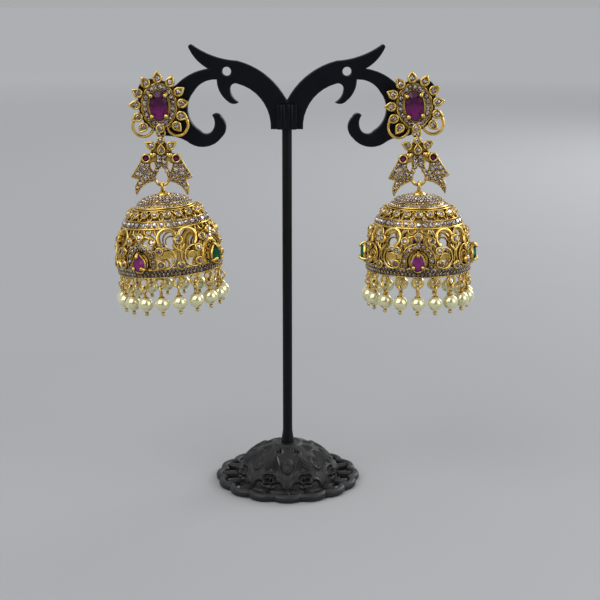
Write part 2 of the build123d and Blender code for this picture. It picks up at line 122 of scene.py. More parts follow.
# azimuth from the middle of a motif, height and radius of each collet of the openwork
COLLETS = np.array(
    [
        (0, 10.8, 1.15), (15, 9.6, 1.15), (-15, 9.6, 1.15), (23, 7.1, 1.15), (-23, 7.1, 1.15),
        (45, 9.7, 1.3), (45, 3.0, 1.2), (24, 3.6, 1.2), (-24, 3.6, 1.2),
    ]
)


# --- Lines ---
def turns(count):
    """Angles of a full turn in equal steps, in radians."""
    return np.arange(count) * 2 * np.pi / count


def angles(start, end, steps):
    """Angles from start to end, given in degrees, in radians."""
    return np.radians(np.linspace(start, end, steps))


def about_z(radius, turn, height):
    """Points at a radius, a turn from the front and a height: (r sin a, -r cos a, h)."""
    points = np.broadcast_arrays(radius * np.sin(turn), -radius * np.cos(turn), height)
    return np.stack(points, -1)


# --- Shapes ---
class Shape:
    """Points in millimetres, and faces as arrays of point numbers, one for each count of corners."""

    def __init__(self, points, faces):
        self.points = points
        self.faces = faces


def joined(*shapes):
    """Several shapes as one: their points are stacked and their faces renumbered."""
    starts = np.cumsum([0] + [len(shape.points) for shape in shapes])
    faces = [face + start for shape, start in zip(shapes, starts) for face in shape.faces]
    return Shape(np.concatenate([shape.points for shape in shapes]), faces)


def copies(shape, frames, sizes=1.0):
    """The shape once in each frame: a point p goes to the frame's origin + its axes times size * p."""
    frames = np.asarray(frames, float).reshape(-1, 4, 4)
    scale = np.broadcast_to(sizes, len(frames)).reshape(-1, 1, 1)
    points = np.einsum("nij,kj->nki", frames[:, :3, :3], shape.points) * scale
    points = points + frames[:, None, :3, 3]
    starts = np.arange(len(frames)) * len(shape.points)
    faces = [(f[None] + starts[:, None, None]).reshape(-1, f.shape[1]) for f in shape.faces]
    return Shape(points.reshape(-1, 3), faces)


def welded(points, quads):
    """Merges points that lie together, so that a pole is one point and a seam is closed. A quad
    that loses a corner becomes a triangle."""
    _, first, number = np.unique(
        np.round(points, 6), axis=0, return_index=True, return_inverse=True
    )
    quads = number.ravel()[quads]
    same = quads == np.roll(quads, -1, axis=1)
    pinched = same.sum(1) == 1
    triangles = quads[pinched][~same[pinched]].reshape(-1, 3)
    return Shape(points[first], [quads[~same.any(1)], triangles])


def outward(shape):
    """Turns a closed shape's faces round if the volume inside them, the sum of p0 . (p1 x p2) / 6
    over its triangles, comes out below nothing."""
    volume = 0.0
    for face in shape.faces:
        for i in range(1, face.shape[1] - 1):
            a, b, c = (shape.points[face[:, k]] for k in (0, i, i + 1))
            volume += np.einsum("ij,ij->", a, np.cross(b, c))
    if volume < 0:
        shape.faces = [face[:, ::-1] for face in shape.faces]
    return shape


def net(points, wrap=(False, True)):
    """A closed sheet of quads over a grid of points, u down the rows and v along them. wrap joins
    the last row, or column, to the first."""
    rows, columns = points.shape[:2]
    number = np.arange(rows * columns).reshape(rows, columns)
    if wrap[0]:
        number = np.vstack([number, number[:1]])
    if wrap[1]:
        number = np.hstack([number, number[:, :1]])
    corners = [number[:-1, :-1], number[1:, :-1], number[1:, 1:], number[:-1, 1:]]
    return outward(welded(points.reshape(-1, 3), np.stack(corners, -1).reshape(-1, 4)))


def turned(profile, sides, closed=False):
    """A profile of (radius, height) turned about Z: (r cos a, r sin a, z). An open profile ends on
    the axis, and a closed one is a loop."""
    profile = np.asarray(profile, float)
    a = turns(sides)
    radius, height = profile[:, :1], profile[:, 1:]
    points = np.stack([radius * np.cos(a), radius * np.sin(a), height + 0 * a], -1)
    return net(points, (closed, True))


def bead(radius, rows=4, columns=7, squash=1.0):
    """A ball: radius * (sin t, cos t) for t from the top to the foot, turned about Z."""
    t = np.linspace(0, np.pi, rows + 1)
    return turned(np.stack([radius * np.sin(t), squash * radius * np.cos(t)], -1), columns)


def ring(radius, thick, around=20, sides=8):
    """A torus about Z: a circle of the wire's radius, turned at the ring's radius."""
    t = turns(sides)
    profile = np.stack([radius + thick * np.cos(t), thick * np.sin(t)], -1)
    return turned(profile, around, closed=True)


def unit(vectors):
    """Vectors divided by their lengths."""
    return vectors / np.maximum(np.linalg.norm(vectors, axis=-1, keepdims=True), 1e-12)


def carried(profile, path, facing, closed=False, sizes=1.0):
    """A closed profile (s, n) carried along a path: path + size * (s * side + n * rise), where rise
    is the facing direction made square to the path and side is square to both. An open path's
    ends are closed by shrinking the profile to a point."""
    path = np.asarray(path, float)
    if closed:
        along = np.roll(path, -1, 0) - np.roll(path, 1, 0)
    else:
        along = np.gradient(path, axis=0)
    along = unit(along)
    side = unit(np.cross(along, np.broadcast_to(facing, path.shape)))
    rise = np.cross(side, along)
    sizes = np.broadcast_to(sizes, len(path))
    if not closed:
        ends = [0, *range(len(path)), len(path) - 1]
        path, side, rise = path[ends], side[ends], rise[ends]
        sizes = np.concatenate([[0], sizes, [0]])
    s, n = (profile[None, :, k, None] * sizes[:, None, None] for k in (0, 1))
    return net(path[:, None] + s * side[:, None] + n * rise[:, None], (closed, True))


def round_profile(radius, sides=8):
    """A circle (radius cos t, radius sin t)."""
    t = turns(sides)
    return radius * np.stack([np.cos(t), np.sin(t)], -1)


def wire(radius, path, facing=(0, 1, 0), sides=8, closed=False):
    """A round wire along a path."""
    return carried(round_profile(radius, sides), path, facing, closed)


def strip_profile(width, low, high, corner=0.12):
    """A strip's section: a box from low to high, width wide, with its four corners cut off."""
    w, c = width / 2, corner
    return np.array(
        [
            (w - c, low), (w, low + c), (w, high - c), (w - c, high),
            (c - w, high), (-w, high - c), (-w, low + c), (c - w, low),
        ]
    )


def brilliant(radius, crown=0.35, pavilion=0.4, table=0.55):
    """A round cut stone with its girdle at height 0. A table of eight sides, eight stars round
    it, eight kites that reach the girdle, sixteen triangles along it and a cone below."""
    i = np.arange(8)
    on, back = (i + 1) % 8, (i - 1) % 8
    even, odd = 2 * np.pi * i / 8, 2 * np.pi * (i + 0.5) / 8
    rim = 2 * np.pi * np.arange(16) / 16
    rows = [(even, table, crown), (odd, 0.5 + 0.5 * table, 0.6 * crown), (rim, 1.0, 0.0)]
    points = [
        np.stack([radius * r * np.cos(t), radius * r * np.sin(t), 0 * t + h], -1) for t, r, h in rows
    ]
    star, low = i + 8, 2 * i + 16
    mid, next_low = low + 1, 2 * on + 16
    kites = np.stack([i, back + 8, low, star], -1)
    belt = [(i, star, on), (star, low, mid), (star, mid, next_low)]
    cone = np.stack([(np.arange(16) + 1) % 16 + 16, np.arange(16) + 16, np.full(16, 32)], -1)
    faces = [i[None], kites, *[np.stack(face, -1) for face in belt], cone]
    return outward(Shape(np.vstack([*points, [(0, 0, -pavilion)]]), faces))


# --- Frames: a frame's columns are its side, its climb, its outward normal and its origin ---
def spun(degrees, axis):
    """A turn about one of the axes, as a 4 x 4 matrix."""
    c, s = np.cos(np.radians(degrees)), np.sin(np.radians(degrees))
    i, j = [(1, 2), (2, 0), (0, 1)][axis]
    m = np.eye(4)
    m[i, i], m[j, j], m[i, j], m[j, i] = c, c, -s, s
    return m


def spins(count):
    """Equal turns about Z that make up a full one."""
    return [spun(360 * i / count, 2) for i in range(count)]


def moved(x, y, z):
    """A shift, as a 4 x 4 matrix."""
    m = np.eye(4)
    m[:3, 3] = x, y, z
    return m


def framed(side, climb, normal, origin):
    """Frames from arrays of axes and origins."""
    m = np.zeros((len(origin), 4, 4))
    m[:, :3, 0], m[:, :3, 1], m[:, :3, 2], m[:, :3, 3] = side, climb, normal, origin
    m[:, 3, 3] = 1
    return m


def stud_frame(side):
    """A stud's own frame: the centre of its back, rolled a little."""
    return moved(EARRING_X[side], STUD_BACK_Y, STUD_Z) @ spun(-STUD_ROLL[side], 1)


def link_frame(side):
    """A link's frame, whose origin is where the stud's would be if it hung straight."""
    hinge = (stud_frame(side) @ [0, HANG_Y, HANG_Z, 1])[:3]
    return moved(*hinge) @ spun(-LINK_LEAN[side], 1) @ moved(0, -HANG_Y, -HANG_Z)


def hung_frame(side):
    """The bell's frame before it turns about itself: its rim's centre below the yoke."""
    hook = (link_frame(side) @ [0, HANG_Y, SWING_Z, 1])[:3]
    return moved(*hook) @ spun(-BELL_LEAN[side], 1) @ moved(0, 0, -BELL_HANG)


def bell_frame(side):
    """The bell's frame: its rim's centre, turned as the bell has turned."""
    return hung_frame(side) @ spun(BELL_TURN[side], 2)


def in_front(x, z, y=0.0, turn=0.0):
    """Frames that face the front at (x, y, z), turned clockwise from upright."""
    x, z, y, a = np.broadcast_arrays(x, z, y, np.radians(turn))
    x, z, y, a = (np.atleast_1d(v).astype(float) for v in (x, z, y, a))
    side = np.stack([np.cos(a), 0 * a, -np.sin(a)], -1)
    climb = np.stack([np.sin(a), 0 * a, np.cos(a)], -1)
    normal = np.broadcast_to((0.0, -1.0, 0.0), side.shape)
    return framed(side, climb, normal, np.stack([x, y, z], -1))


def wall_radius(height):
    """The bell's radius at a height: straight up the skirt, then a quarter of an ellipse."""
    rise = np.clip((np.asarray(height, float) - BELL_SKIRT) / BELL_RISE, 0, 1)
    return BELL_RADIUS * np.sqrt(1 - rise * rise)


def on_bell(azimuth, height, lift=0.0):
    """Frames on the bell's wall. The normal is the ellipse's, (r / R^2, h / H^2) made a unit long;
    azimuth 0 faces the front and grows to the right."""
    azimuth, height = np.broadcast_arrays(np.radians(azimuth), np.asarray(height, float))
    a, h = np.atleast_1d(azimuth), np.atleast_1d(height)
    r = wall_radius(h)
    across, up = r / BELL_RADIUS**2, np.clip(h - BELL_SKIRT, 0, None) / BELL_RISE**2
    across, up = across / np.hypot(across, up), up / np.hypot(across, up)
    normal = about_z(across, a, up)
    side = np.stack([np.cos(a), np.sin(a), 0 * a], -1)
    return framed(side, np.cross(normal, side), normal, about_z(r, a, h) + lift * normal)


def along_wall(across, height, azimuth=0.0, lift=0.0):
    """Frames on the wall: across is how far along it they lie from an azimuth, in millimetres."""
    across, height = np.broadcast_arrays(np.asarray(across, float), np.asarray(height, float))
    return on_bell(azimuth + np.degrees(across / wall_radius(height)), height, lift)


def round_bell(count, height, lift, shift=0.0):
    """Frames equally spaced round the bell, turned on by a share of a step."""
    return on_bell((np.arange(count) + shift) * 360 / count, height, lift)


def cap_bulge(height):
    """How far the cap stands proud of the ellipse: half a sine from its edge to its top."""
    top = BELL_SKIRT + BELL_RISE
    return 0.45 * np.sin(np.pi * np.clip((height - CAP_EDGE) / (top - CAP_EDGE), 0, 1))


def laid(section, across, height, azimuth=0.0):
    """A profile carried along a line drawn on the wall, and standing out of the wall."""
    frames = along_wall(across, height, azimuth)
    return carried(section, frames[:, :3, 3], frames[:, :3, 2])


# --- Pieces ---
def make_piece(name, shape, material, body, place=None, replaced=(), crease=None):
    """Puts a shape into a mesh, in metres and in the frame's own axes, gives it its finish and
    lets it ride on a body. Without a crease angle its faces stay flat."""
    place = np.eye(4) if place is None else place
    points = (shape.points @ place[:3, :3].T + place[:3, 3]) * MM
    mesh = bpy.data.meshes.new(name)
    mesh.from_pydata(points.tolist(), [], [face for group in shape.faces for face in group.tolist()])
    mesh.validate()
    if crease:
        mesh.shade_smooth()
        mesh.set_sharp_from_angle(angle=np.radians(crease))
    mesh.materials.append(material)
    piece = bpy.data.objects.new(name, mesh)
    bpy.context.collection.objects.link(piece)
    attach(piece, body)
    if replaced:
        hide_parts(*replaced)
    return piece


# --- Finishes ---
class Finish:
    """A procedural material, or the world, under way: its nodes are added one by one and linked
    by name."""

    def __init__(self, name, kind="materials", shader="Principled BSDF", where="Object"):
        self.owner = getattr(bpy.data, kind).new(name)
        self.owner.use_nodes = True
        self.nodes = self.owner.node_tree.nodes
        self.links = self.owner.node_tree.links
        self.shader = self.nodes[shader]
        self.where = self.add("ShaderNodeTexCoord").outputs[where]

    def add(self, kind, sockets=None, **fields):
        """A node with its fields set and its sockets given values or links."""
        node = self.nodes.new(kind)
        for key, value in fields.items():
            setattr(node, key, value)
        for key, value in (sockets or {}).items():
            self.put(node.inputs[key], value)
        return node

    def put(self, socket, value):
        """Links an output to a socket, or writes a value into it."""
        if isinstance(value, bpy.types.NodeSocket):
            self.links.new(value, socket)
        else:
            socket.default_value = value

    def noise(self, scale, detail=3.0, rough=0.5):
        """Noise on the piece's own coordinates, in features a metre."""
        sockets = {"Vector": self.where, "Scale": scale, "Detail": detail, "Roughness": rough}
        return self.add("ShaderNodeTexNoise", sockets).outputs["Fac"]

    def cells(self, scale, feature="F1"):
        """Cells on the piece's own coordinates: the node with its distance and its random colour."""
        sockets = {"Vector": self.where, "Scale": scale}
        return self.add("ShaderNodeTexVoronoi", sockets, feature=feature)

    def ramp(self, value, stops):
        """Colours along a value: stops are (place, colour)."""
        node = self.add("ShaderNodeValToRGB", {"Fac": value})
        elements = node.color_ramp.elements
        while len(elements) < len(stops):
            elements.new(0.5)
        for element, (place, colour) in zip(elements, stops):
            element.position = place
            element.color = (*colour[:3], 1)
        return node.outputs["Color"]

    def mixed(self, factor, a, b, blend="MIX"):
        """Two colours mixed by a factor, or one times the other."""
        sockets = {"Factor": factor, "A": a, "B": b}
        node = self.add("ShaderNodeMix", sockets, data_type="RGBA", blend_type=blend)
        return node.outputs["Result"]

    def rise(self, foot, top):
        """0 at one height and 1 at another, in metres."""
        height = self.add("ShaderNodeSeparateXYZ", {0: self.where}).outputs["Z"]
        sockets = {"Value": height, "From Min": foot, "From Max": top}
        return self.add("ShaderNodeMapRange", sockets).outputs[0]

    def span(self, value, low, high):
        """A value from 0 to 1 spread from low to high."""
        return self.add("ShaderNodeMapRange", {"Value": value, "To Min": low, "To Max": high}).outputs[0]

    def bump(self, height, strength, distance):
        """A bump of that distance in metres on the shader."""
        sockets = {"Height": height, "Strength": strength, "Distance": distance}
        self.put(self.shader.inputs["Normal"], self.add("ShaderNodeBump", sockets).outputs["Normal"])

    def done(self, **values):
        """Sets the shader's sockets, and gives the material or the world."""
        for key, value in values.items():
            self.put(self.shader.inputs[key.replace("_", " ")], value)
        return self.owner


def gold_finish(colours):
    """Yellow gold plate: a tone that wanders at random, with painted shade from ambient occlusion
    that darkens it to brown and near black in recesses and between parts, fine casting grain, and a
    polish that is a little uneven."""
    made = Finish("gold_plate")
    # painted shade: ambient occlusion over this piece and the pieces round it darkens the gold's colour in
    # recesses and between parts
    hollow = made.add(
        "ShaderNodeAmbientOcclusion", {"Distance": 0.0014}, samples=8, only_local=False
    ).outputs["AO"]
    tone = made.ramp(
        made.noise(700, 4),
        [(0.3, colours.gold_deep), (0.5, colours.gold), (0.72, colours.gold_pale)],
    )
    # painted shade colours, from near black in the deepest recesses to none on open faces
    painted_shade = made.ramp(
        hollow, [(0.32, colours.gold_painted_shade), (0.6, (0.5, 0.42, 0.3)), (0.92, (1, 1, 1))]
    )
    made.bump(made.noise(2600, 4), 0.35, 0.00005)
    return made.done(
        Base_Color=made.mixed(1.0, tone, painted_shade, "MULTIPLY"),
        Metallic=1.0,
        Roughness=made.span(made.noise(900), 0.14, 0.32),
    )


def white_stone_finish(colours):
    """Small white stones: a lilac grey body with painted sparkle. Cells about a third of a millimetre
    across take the lilac grey, a clear white as painted highlights and a dark as painted dark
    reflections, and painted shade makes the stones darker low on the bells."""
    made = Finish("white_stones")
    cell = made.cells(2600)
    value = made.add("ShaderNodeSeparateColor", {"Color": cell.outputs["Color"]}).outputs["Red"]
    # painted highlights and painted dark reflections: each facet-sized cell takes one of three tones, a
    # painted dark reflection, the lilac grey body and a painted highlight
    tone = made.ramp(
        value, [(0.1, colours.stone_painted_dark_reflection), (0.5, colours.stone), (0.88, colours.stone_painted_highlight)]
    )
    # painted shade: the stones are darkened below 72 mm, and most at 65 mm and below
    painted_shade = made.ramp(made.rise(0.065, 0.072), [(0.0, (0.36, 0.32, 0.28)), (1.0, (1, 1, 1))])
    return made.done(
        Base_Color=made.mixed(1.0, tone, painted_shade, "MULTIPLY"),
        Metallic=0.6,
        Roughness=made.span(made.noise(1800), 0.03, 0.12),
        IOR=2.1,
        Coat_Weight=0.5,
        Coat_Roughness=0.03,
    )


def coloured_stone_finish(name, deep, clear, foot, top):
    """A coloured stone with painted light and shade: its body colour is painted clear at its foot, in
    metres, and deep at its top, with soft clouds, under a hard polish."""
    made = Finish(name)
    cloud = made.span(made.noise(500, 2), -0.25, 0.25)
    # painted light and shade: the body colour is clear low down and deep high up on the stone
    sockets = {0: made.rise(foot, top), 1: cloud}
    place = made.add("ShaderNodeMath", sockets, operation="ADD").outputs[0]
    return made.done(
        Base_Color=made.ramp(place, [(0.05, clear), (0.75, deep)]),
        Roughness=made.span(made.noise(1500), 0.1, 0.2),
        IOR=1.5,
        Specular_IOR_Level=0.3,
    )


def pearl_finish(colours):
    """A glass pearl: cream with greener clouds, a mirror-like lustre, a clear coat, and a sheen
    that tints its edge."""
    made = Finish("pearl_lustre")
    tone = made.ramp(made.noise(330, 2), [(0.3, colours.pearl_cloud), (0.7, colours.pearl)])
    made.bump(made.noise(4000, 2), 0.05, 0.00002)
    return made.done(
        Base_Color=tone,
        Sheen_Weight=1.0,
        Sheen_Roughness=0.5,
        Sheen_Tint=(*colours.pearl_rim, 1),
        Metallic=0.6,
        Roughness=made.span(made.noise(1200), 0.1, 0.16),
        Coat_Weight=1.0,
        Coat_Roughness=0.05,
        IOR=1.6,
    )


def black_finish(name, tone, rough, grain, height, shine):
    """A black surface: its tone wanders a little, its gloss is uneven, and it has a fine grain."""
    made = Finish(name)
    colour = made.ramp(
        made.noise(160, 5), [(0.3, [c * 0.75 for c in tone[:3]]), (0.7, [c * 1.35 for c in tone[:3]])]
    )
    made.bump(made.noise(grain, 5, 0.6), 0.5, height)
    return made.done(
        Base_Color=colour,
        Roughness=made.span(made.noise(260, 4), rough - 0.06, rough + 0.08),
        Specular_IOR_Level=shine,
    )


def colour_setting(name, description, colour):
    """A colour that a user can change."""
    return FloatVectorProperty(
        name=name, description=description, subtype="COLOR", size=3, min=0, max=1, default=colour
    )


def length_setting(name, description, millimetres):
    """A length in metres that a user can change."""
    return FloatProperty(
        name=name, description=description, default=millimetres * MM, min=0, unit="LENGTH", precision=5
    )


class JhumkaFinishes(bpy.types.PropertyGroup):
    """Colours of the metals, stones, pearls and stand."""

    gold: colour_setting("Gold", "Middle tone of the gold plate", (0.79, 0.54, 0.13))
    gold_deep: colour_setting("Deep gold", "Deep tone of the gold plate", (0.52, 0.33, 0.06))
    gold_pale: colour_setting("Pale gold", "Pale tone of the gold plate", (0.91, 0.72, 0.28))
    # painted shade: the colour that the gold is darkened to in its recesses
    gold_painted_shade: colour_setting("Gold hollow", "Shade that the gold takes in recesses", (0.06, 0.024, 0.008))
    stone: colour_setting("Stone", "Middle tone of the white stones", (0.23, 0.18, 0.165))
    # painted dark reflections and painted highlights of the stones' facets
    stone_painted_dark_reflection: colour_setting("Dark stone", "Dark tone of the white stones", (0.07, 0.045, 0.045))
    stone_painted_highlight: colour_setting("Pale stone", "Pale tone of the white stones", (0.79, 0.73, 0.67))
    ruby: colour_setting("Ruby", "Clear tone of the rubies", (0.25, 0.02, 0.19))
    emerald: colour_setting("Emerald", "Clear tone of the emeralds", (0.008, 0.16, 0.07))
    pearl: colour_setting("Pearl", "Middle tone of the pearls", (0.81, 0.775, 0.47))
    pearl_cloud: colour_setting("Pearl cloud", "Tone of the pearls' clouds", (0.7, 0.67, 0.38))
    pearl_rim: colour_setting("Pearl rim", "Tone of the sheen at the pearls' edge", (0.97, 1.0, 0.74))
    arms: colour_setting("Arms", "Tone of the black arms", (0.0024, 0.0029, 0.0055))
    pole: colour_setting("Pole", "Tone of the black pole", (0.003, 0.0035, 0.0045))
    foot: colour_setting("Foot", "Tone of the cast foot", (0.0073, 0.0075, 0.0082))
    floor: colour_setting("Floor", "Tone of the floor", (0.365, 0.375, 0.385))


class JhumkaSizes(bpy.types.PropertyGroup):
    """Sizes that are safe to change on their own."""

    cap_stone: length_setting("Cap stone", "Girdle radius of the small stones on the cap", 0.39)
    band_stone: length_setting("Band stone", "Girdle radius of the stones of the upper band", 0.78)
    rim_stone: length_setting("Rim stone", "Girdle radius of the small stones of the rim band", 0.5)
    bead: length_setting("Bead", "Radius of the beads that hold the small stones", 0.19)
    hoop_wire: length_setting("Hoop wire", "Radius of the openwork's hoop wire", 0.21)
    relief: length_setting("Relief", "Height of the relief cast on the foot", 0.75)
    lens: FloatProperty(name="Lens", description="Focal length", default=78.0, min=10, max=300)


finishes = {}


def finish_of(name):
    """A finish by its name, made the first time it is asked for."""
    if name not in finishes:
        c = bpy.context.scene.jhumka_finishes
        # painted shade: the deep tones that the coloured stones take at their tops
        deep = [tone * 0.2 for tone in c.ruby]
        green = [tone * 0.3 for tone in c.emerald]
        make = {
            "gold": lambda: gold_finish(c),
            "white": lambda: white_stone_finish(c),
            "stud_ruby": lambda: coloured_stone_finish(
                "ruby_of_studs", deep, [tone * 0.9 for tone in c.ruby], 0.1025, 0.1095
            ),
            "link_ruby": lambda: coloured_stone_finish("ruby_of_links", deep, c.ruby, 0.0915, 0.0945),
            "bell_ruby": lambda: coloured_stone_finish("ruby_of_bells", deep, c.ruby, 0.064, 0.073),
            "emerald": lambda: coloured_stone_finish("emerald", green, c.emerald, 0.064, 0.072),
            "pearl": lambda: pearl_finish(c),
            "arms": lambda: black_finish("arms_black", c.arms, 0.34, 1500, 0.00002, 0.14),
            "pole": lambda: black_finish("pole_black", c.pole, 0.36, 3000, 0.00003, 0.14),
            "foot": lambda: black_finish("foot_casting", c.foot, 0.5, 1500, 0.00012, 0.45),
        }
        finishes[name] = make[name]()
    return finishes[name]


# --- Stand ---
def arc(a, b, c, steps=9):
    """Points of the circle's arc from a through b to c, without its last point."""
    a, b, c = (complex(*p) for p in (a, b, c))
    w = (c - a) / (b - a)
    centre = (b - a) * (w - abs(w) ** 2) / (2j * w.imag) + a
    start, middle, end = (np.angle(p - centre) for p in (a, b, c))
    sweep = (end - start) % (2 * np.pi)
    if (middle - start) % (2 * np.pi) > sweep:
        sweep -= 2 * np.pi
    t = start + sweep * np.arange(steps) / steps
    points = centre + abs(a - centre) * np.exp(1j * t)
    return np.stack([points.real, points.imag], -1)


# ends and middles of the arcs round the right arm, from the crown to the foot
ARM_ARCS = [
    (0, 108.4), (5, 114.6), (13.4, 118.9), (19.9, 120.2), (25.3, 123), (26.2, 123.1), (26.3, 122.2),
    (24.4, 119.3), (21.2, 116.8), (26.1, 115.3), (29.8, 112.6), (32.3, 111.9), (34.6, 113.3),
    (38.8, 113.5), (40.2, 109.7), (38.3, 102.6), (33, 98.8), (29.8, 98.4), (27.2, 97.3),
    (22.3, 95.8), (17.8, 98.3), (16.5, 101.3), (17.7, 103.9), (19.1, 104.9), (20.3, 104.4),
    (19.6, 102.2), (20.4, 100.1), (21.9, 99.3), (23.5, 100.1), (26.9, 105.4), (25.2, 110.6),
    (22.6, 113.1), (18.9, 113.9), (18.2, 110.8), (16.1, 108.2), (14.5, 107.4), (13, 107.8),
    (14.7, 109.4), (15.3, 111.4), (14.7, 112.6), (13.3, 112.8), (7.5, 109.3), (4.4, 100.6),
]


def set_in(loop, depth):
    """A closed loop moved to its left by a depth, along the mean of the two edges' normals and at
    most twice as far at a corner."""
    ahead = unit(np.roll(loop, -1, 0) - loop)
    behind = np.roll(ahead, 1, 0)
    left = np.stack([-ahead[:, 1], ahead[:, 0]], -1) + np.stack([-behind[:, 1], behind[:, 0]], -1)
    length = np.maximum(np.linalg.norm(left, axis=1, keepdims=True), 0.7)
    return loop + depth * 2 * left / length**2


def bevelled_plate(loops, half, bevel):
    """A plate cut to loops in X and Z, the outline and its holes. Each loop's wall is six rings:
    set in at the faces and full between, with a rounded bevel. The faces are triangles between
    the loops."""
    steps = [(1.0, -half), (0.3, -half + 0.3 * bevel), (0.0, -half + bevel)]
    steps += [(inset, -y) for inset, y in reversed(steps)]
    walls, faces, start = [], [], 0
    for loop in loops:
        walls += [np.insert(set_in(loop, inset * bevel), 1, y, axis=1) for inset, y in steps]
        count = len(loop)
        number = start + np.arange(len(steps) * count).reshape(len(steps), count)
        on = np.roll(number, -1, 1)
        faces.append(np.stack([number[:-1], on[:-1], on[1:], number[1:]], -1).reshape(-1, 4))
        start += len(steps) * count
    flat = [[Vector((*p, 0)) for p in set_in(loop, bevel)] for loop in loops]
    triangles = np.array(tessellate_polygon(flat))
    counts = np.array([len(loop) for loop in loops])
    offsets = len(steps) * (np.cumsum(counts) - counts)
    front = np.concatenate([np.arange(count) for count in counts]) + np.repeat(offsets, counts)
    back = front + np.repeat(counts, counts) * (len(steps) - 1)
    points = np.concatenate(walls)
    a, b, c = (points[front[triangles[:, k]]][:, [0, 2]] for k in range(3))
    turn = np.cross(b - a, c - a)
    triangles = np.where((turn > 0)[:, None], triangles, triangles[:, ::-1])
    return outward(Shape(points, [*faces, front[triangles], back[triangles][:, ::-1]]))


def arms_shape():
    """Both arms as one bevelled plate with a hub: the right arm's arcs and the same mirrored."""
    right = np.concatenate([arc(*ARM_ARCS[i : i + 3]) for i in range(0, len(ARM_ARCS) - 2, 2)])
    right = np.vstack([right, [ARM_ARCS[-1]]])
    outline = np.vstack([right, (right[1:] * (-1, 1))[::-1]])
    t = turns(24)
    hole = SPARE_HOLE_RADIUS * np.stack([np.cos(t), np.sin(t)], -1)[::-1]
    holes = [hole + (x, SPARE_HOLE_Z) for x in (SPARE_HOLE_X, -SPARE_HOLE_X)]
    plate = bevelled_plate([outline[::-1], *holes], ARM_HALF, ARM_BEVEL)
    # the hub's front face has a round channel down its middle, with a lip at each side of it
    x = np.linspace(-HUB_HALF_WIDTH, HUB_HALF_WIDTH, 41)
    channel = 0.5 * np.sqrt(np.clip(1 - (x / 1.1) ** 2, 0, 1))
    channel -= 0.16 * np.exp(-(((np.abs(x) - 1.3) / 0.2) ** 2))
    t = angles(0, 90, 5)
    corner = HUB_CORNER * np.stack([np.sin(t), 1 - np.cos(t)], -1)
    corner += (HUB_HALF_WIDTH, -HUB_HALF_DEPTH)
    face = np.stack([x, channel - HUB_HALF_DEPTH], -1)
    sides = [corner, corner[::-1] * (1, -1), corner * -1, corner[::-1] * (-1, 1)]
    outline = np.vstack([face[1:-1], *sides])
    reach = np.array([0, 0.9, 0.97, 1, 1, 0.97, 0.9, 0])[:, None]
    height = np.array([100.6, 100.6, 100.68, 100.9, 107.1, 107.32, 107.4, 107.4])[:, None]
    x, y = outline.T
    return joined(plate, net(np.stack([reach * x, reach * y, height + 0 * x], -1)))


def foot_relief(turn, way):
    """Height of the relief at a turn round the hill and a way down it, from 0 at the top to 1 at
    the rim. In each of eight sectors, mirrored about its middle: an oval ring with a boss, leaf
    ribs that lean outwards from it, an arch below them and a scroll eye between the leaves."""
    sector = np.abs((turn * 8 / (2 * np.pi) + 0.5) % 1 - 0.5) * 2
    side = sector * 5.4 * np.sin(way * np.pi / 2)
    down = way * 14
    relief = 0.9 * np.exp(-((np.hypot(side / 1.15, (down - 7.6) / 1.35) - 1) ** 2) / 0.07)
    relief += 0.7 * np.exp(-((side / 0.6) ** 2) - ((down - 7.6) / 0.7) ** 2)
    for lean, start, width in ((0.35, 1.9, 0.3), (0.5, 2.7, 0.3), (0.65, 3.5, 0.32)):
        line = start + lean * (8.4 - down)
        window = np.exp(-(((down - 7.4) / 2.6) ** 4))
        relief += 0.85 * window * np.exp(-(((side - line) / width) ** 2))
    arch = np.hypot(side - 2.6, (down - 12.2) * 1.1)
    relief += 0.9 * np.exp(-(((arch - 1.5) / 0.3) ** 2)) * (down < 12.4)
    away = np.hypot(side - 4.3, down - 10.6)
    coil = np.cos(2 * np.pi * away / 1.1 + np.arctan2(down - 10.6, side - 4.3))
    relief += 0.7 * coil * np.exp(-((away / 1.5) ** 4))
    away = np.hypot(side - 2.4, down - 3.9)
    relief += 0.6 * np.cos(2 * np.pi * away / 1.0) * np.exp(-((away / 1.2) ** 4))
    band = np.exp(-(((down - 2.2) / 0.26) ** 2)) + np.exp(-(((down - 13.5) / 0.3) ** 2))
    return relief + 0.6 * band


def foot_shape(relief_height):
    """The cast foot: a hill, which is an ellipse turned about the pole with relief along its
    normal, a lobed band round it, of arcs about points on a circle, and a web from the hill to
    each notch."""
    way = np.linspace(0, 1, 110)[:, None]
    turn = turns(432)[None]
    t = way * np.pi / 2
    lift = relief_height * foot_relief(turn, way) * np.clip(way * 9 - 0.6, 0, 1)
    lift = lift * np.clip((1 - way) * 14, 0, 1)
    radius = HILL_RADIUS * np.sin(t) + lift * np.sin(t)
    height = HILL_HEIGHT * np.cos(t) + lift * np.cos(t)
    hill = about_z(radius, turn, np.maximum(height, 0))
    skirt = np.array([(14.9, 1.3), (15.2, 0.9), (15.2, 0.2), (15.0, 0.0), (0.0, 0.0)])
    body = net(np.concatenate([hill[:-6], about_z(skirt[:, :1], turn, skirt[:, 1:])]))
    a = turns(384)
    step = 2 * np.pi / SCALLOPS
    lobe = (a + step / 2) % step - step / 2
    edge = SCALLOP_REACH * np.cos(lobe)
    edge += np.sqrt(SCALLOP_RADIUS**2 - (SCALLOP_REACH * np.sin(lobe)) ** 2) - 1.0
    s = turns(14)
    section = np.stack([np.sign(np.cos(s)) * np.abs(np.cos(s)) ** 0.8, 1.12 * np.sin(s)], -1)
    band = carried(section, about_z(edge, a, 1.13), (0, 0, 1), closed=True)
    out = np.linspace(13.6, 18.4, 6)
    web = carried(0.9 * section, np.stack([out, 0 * out, 0 * out + 1.1], -1), (0, 0, 1))
    return joined(body, band, copies(web, spins(SCALLOPS)))


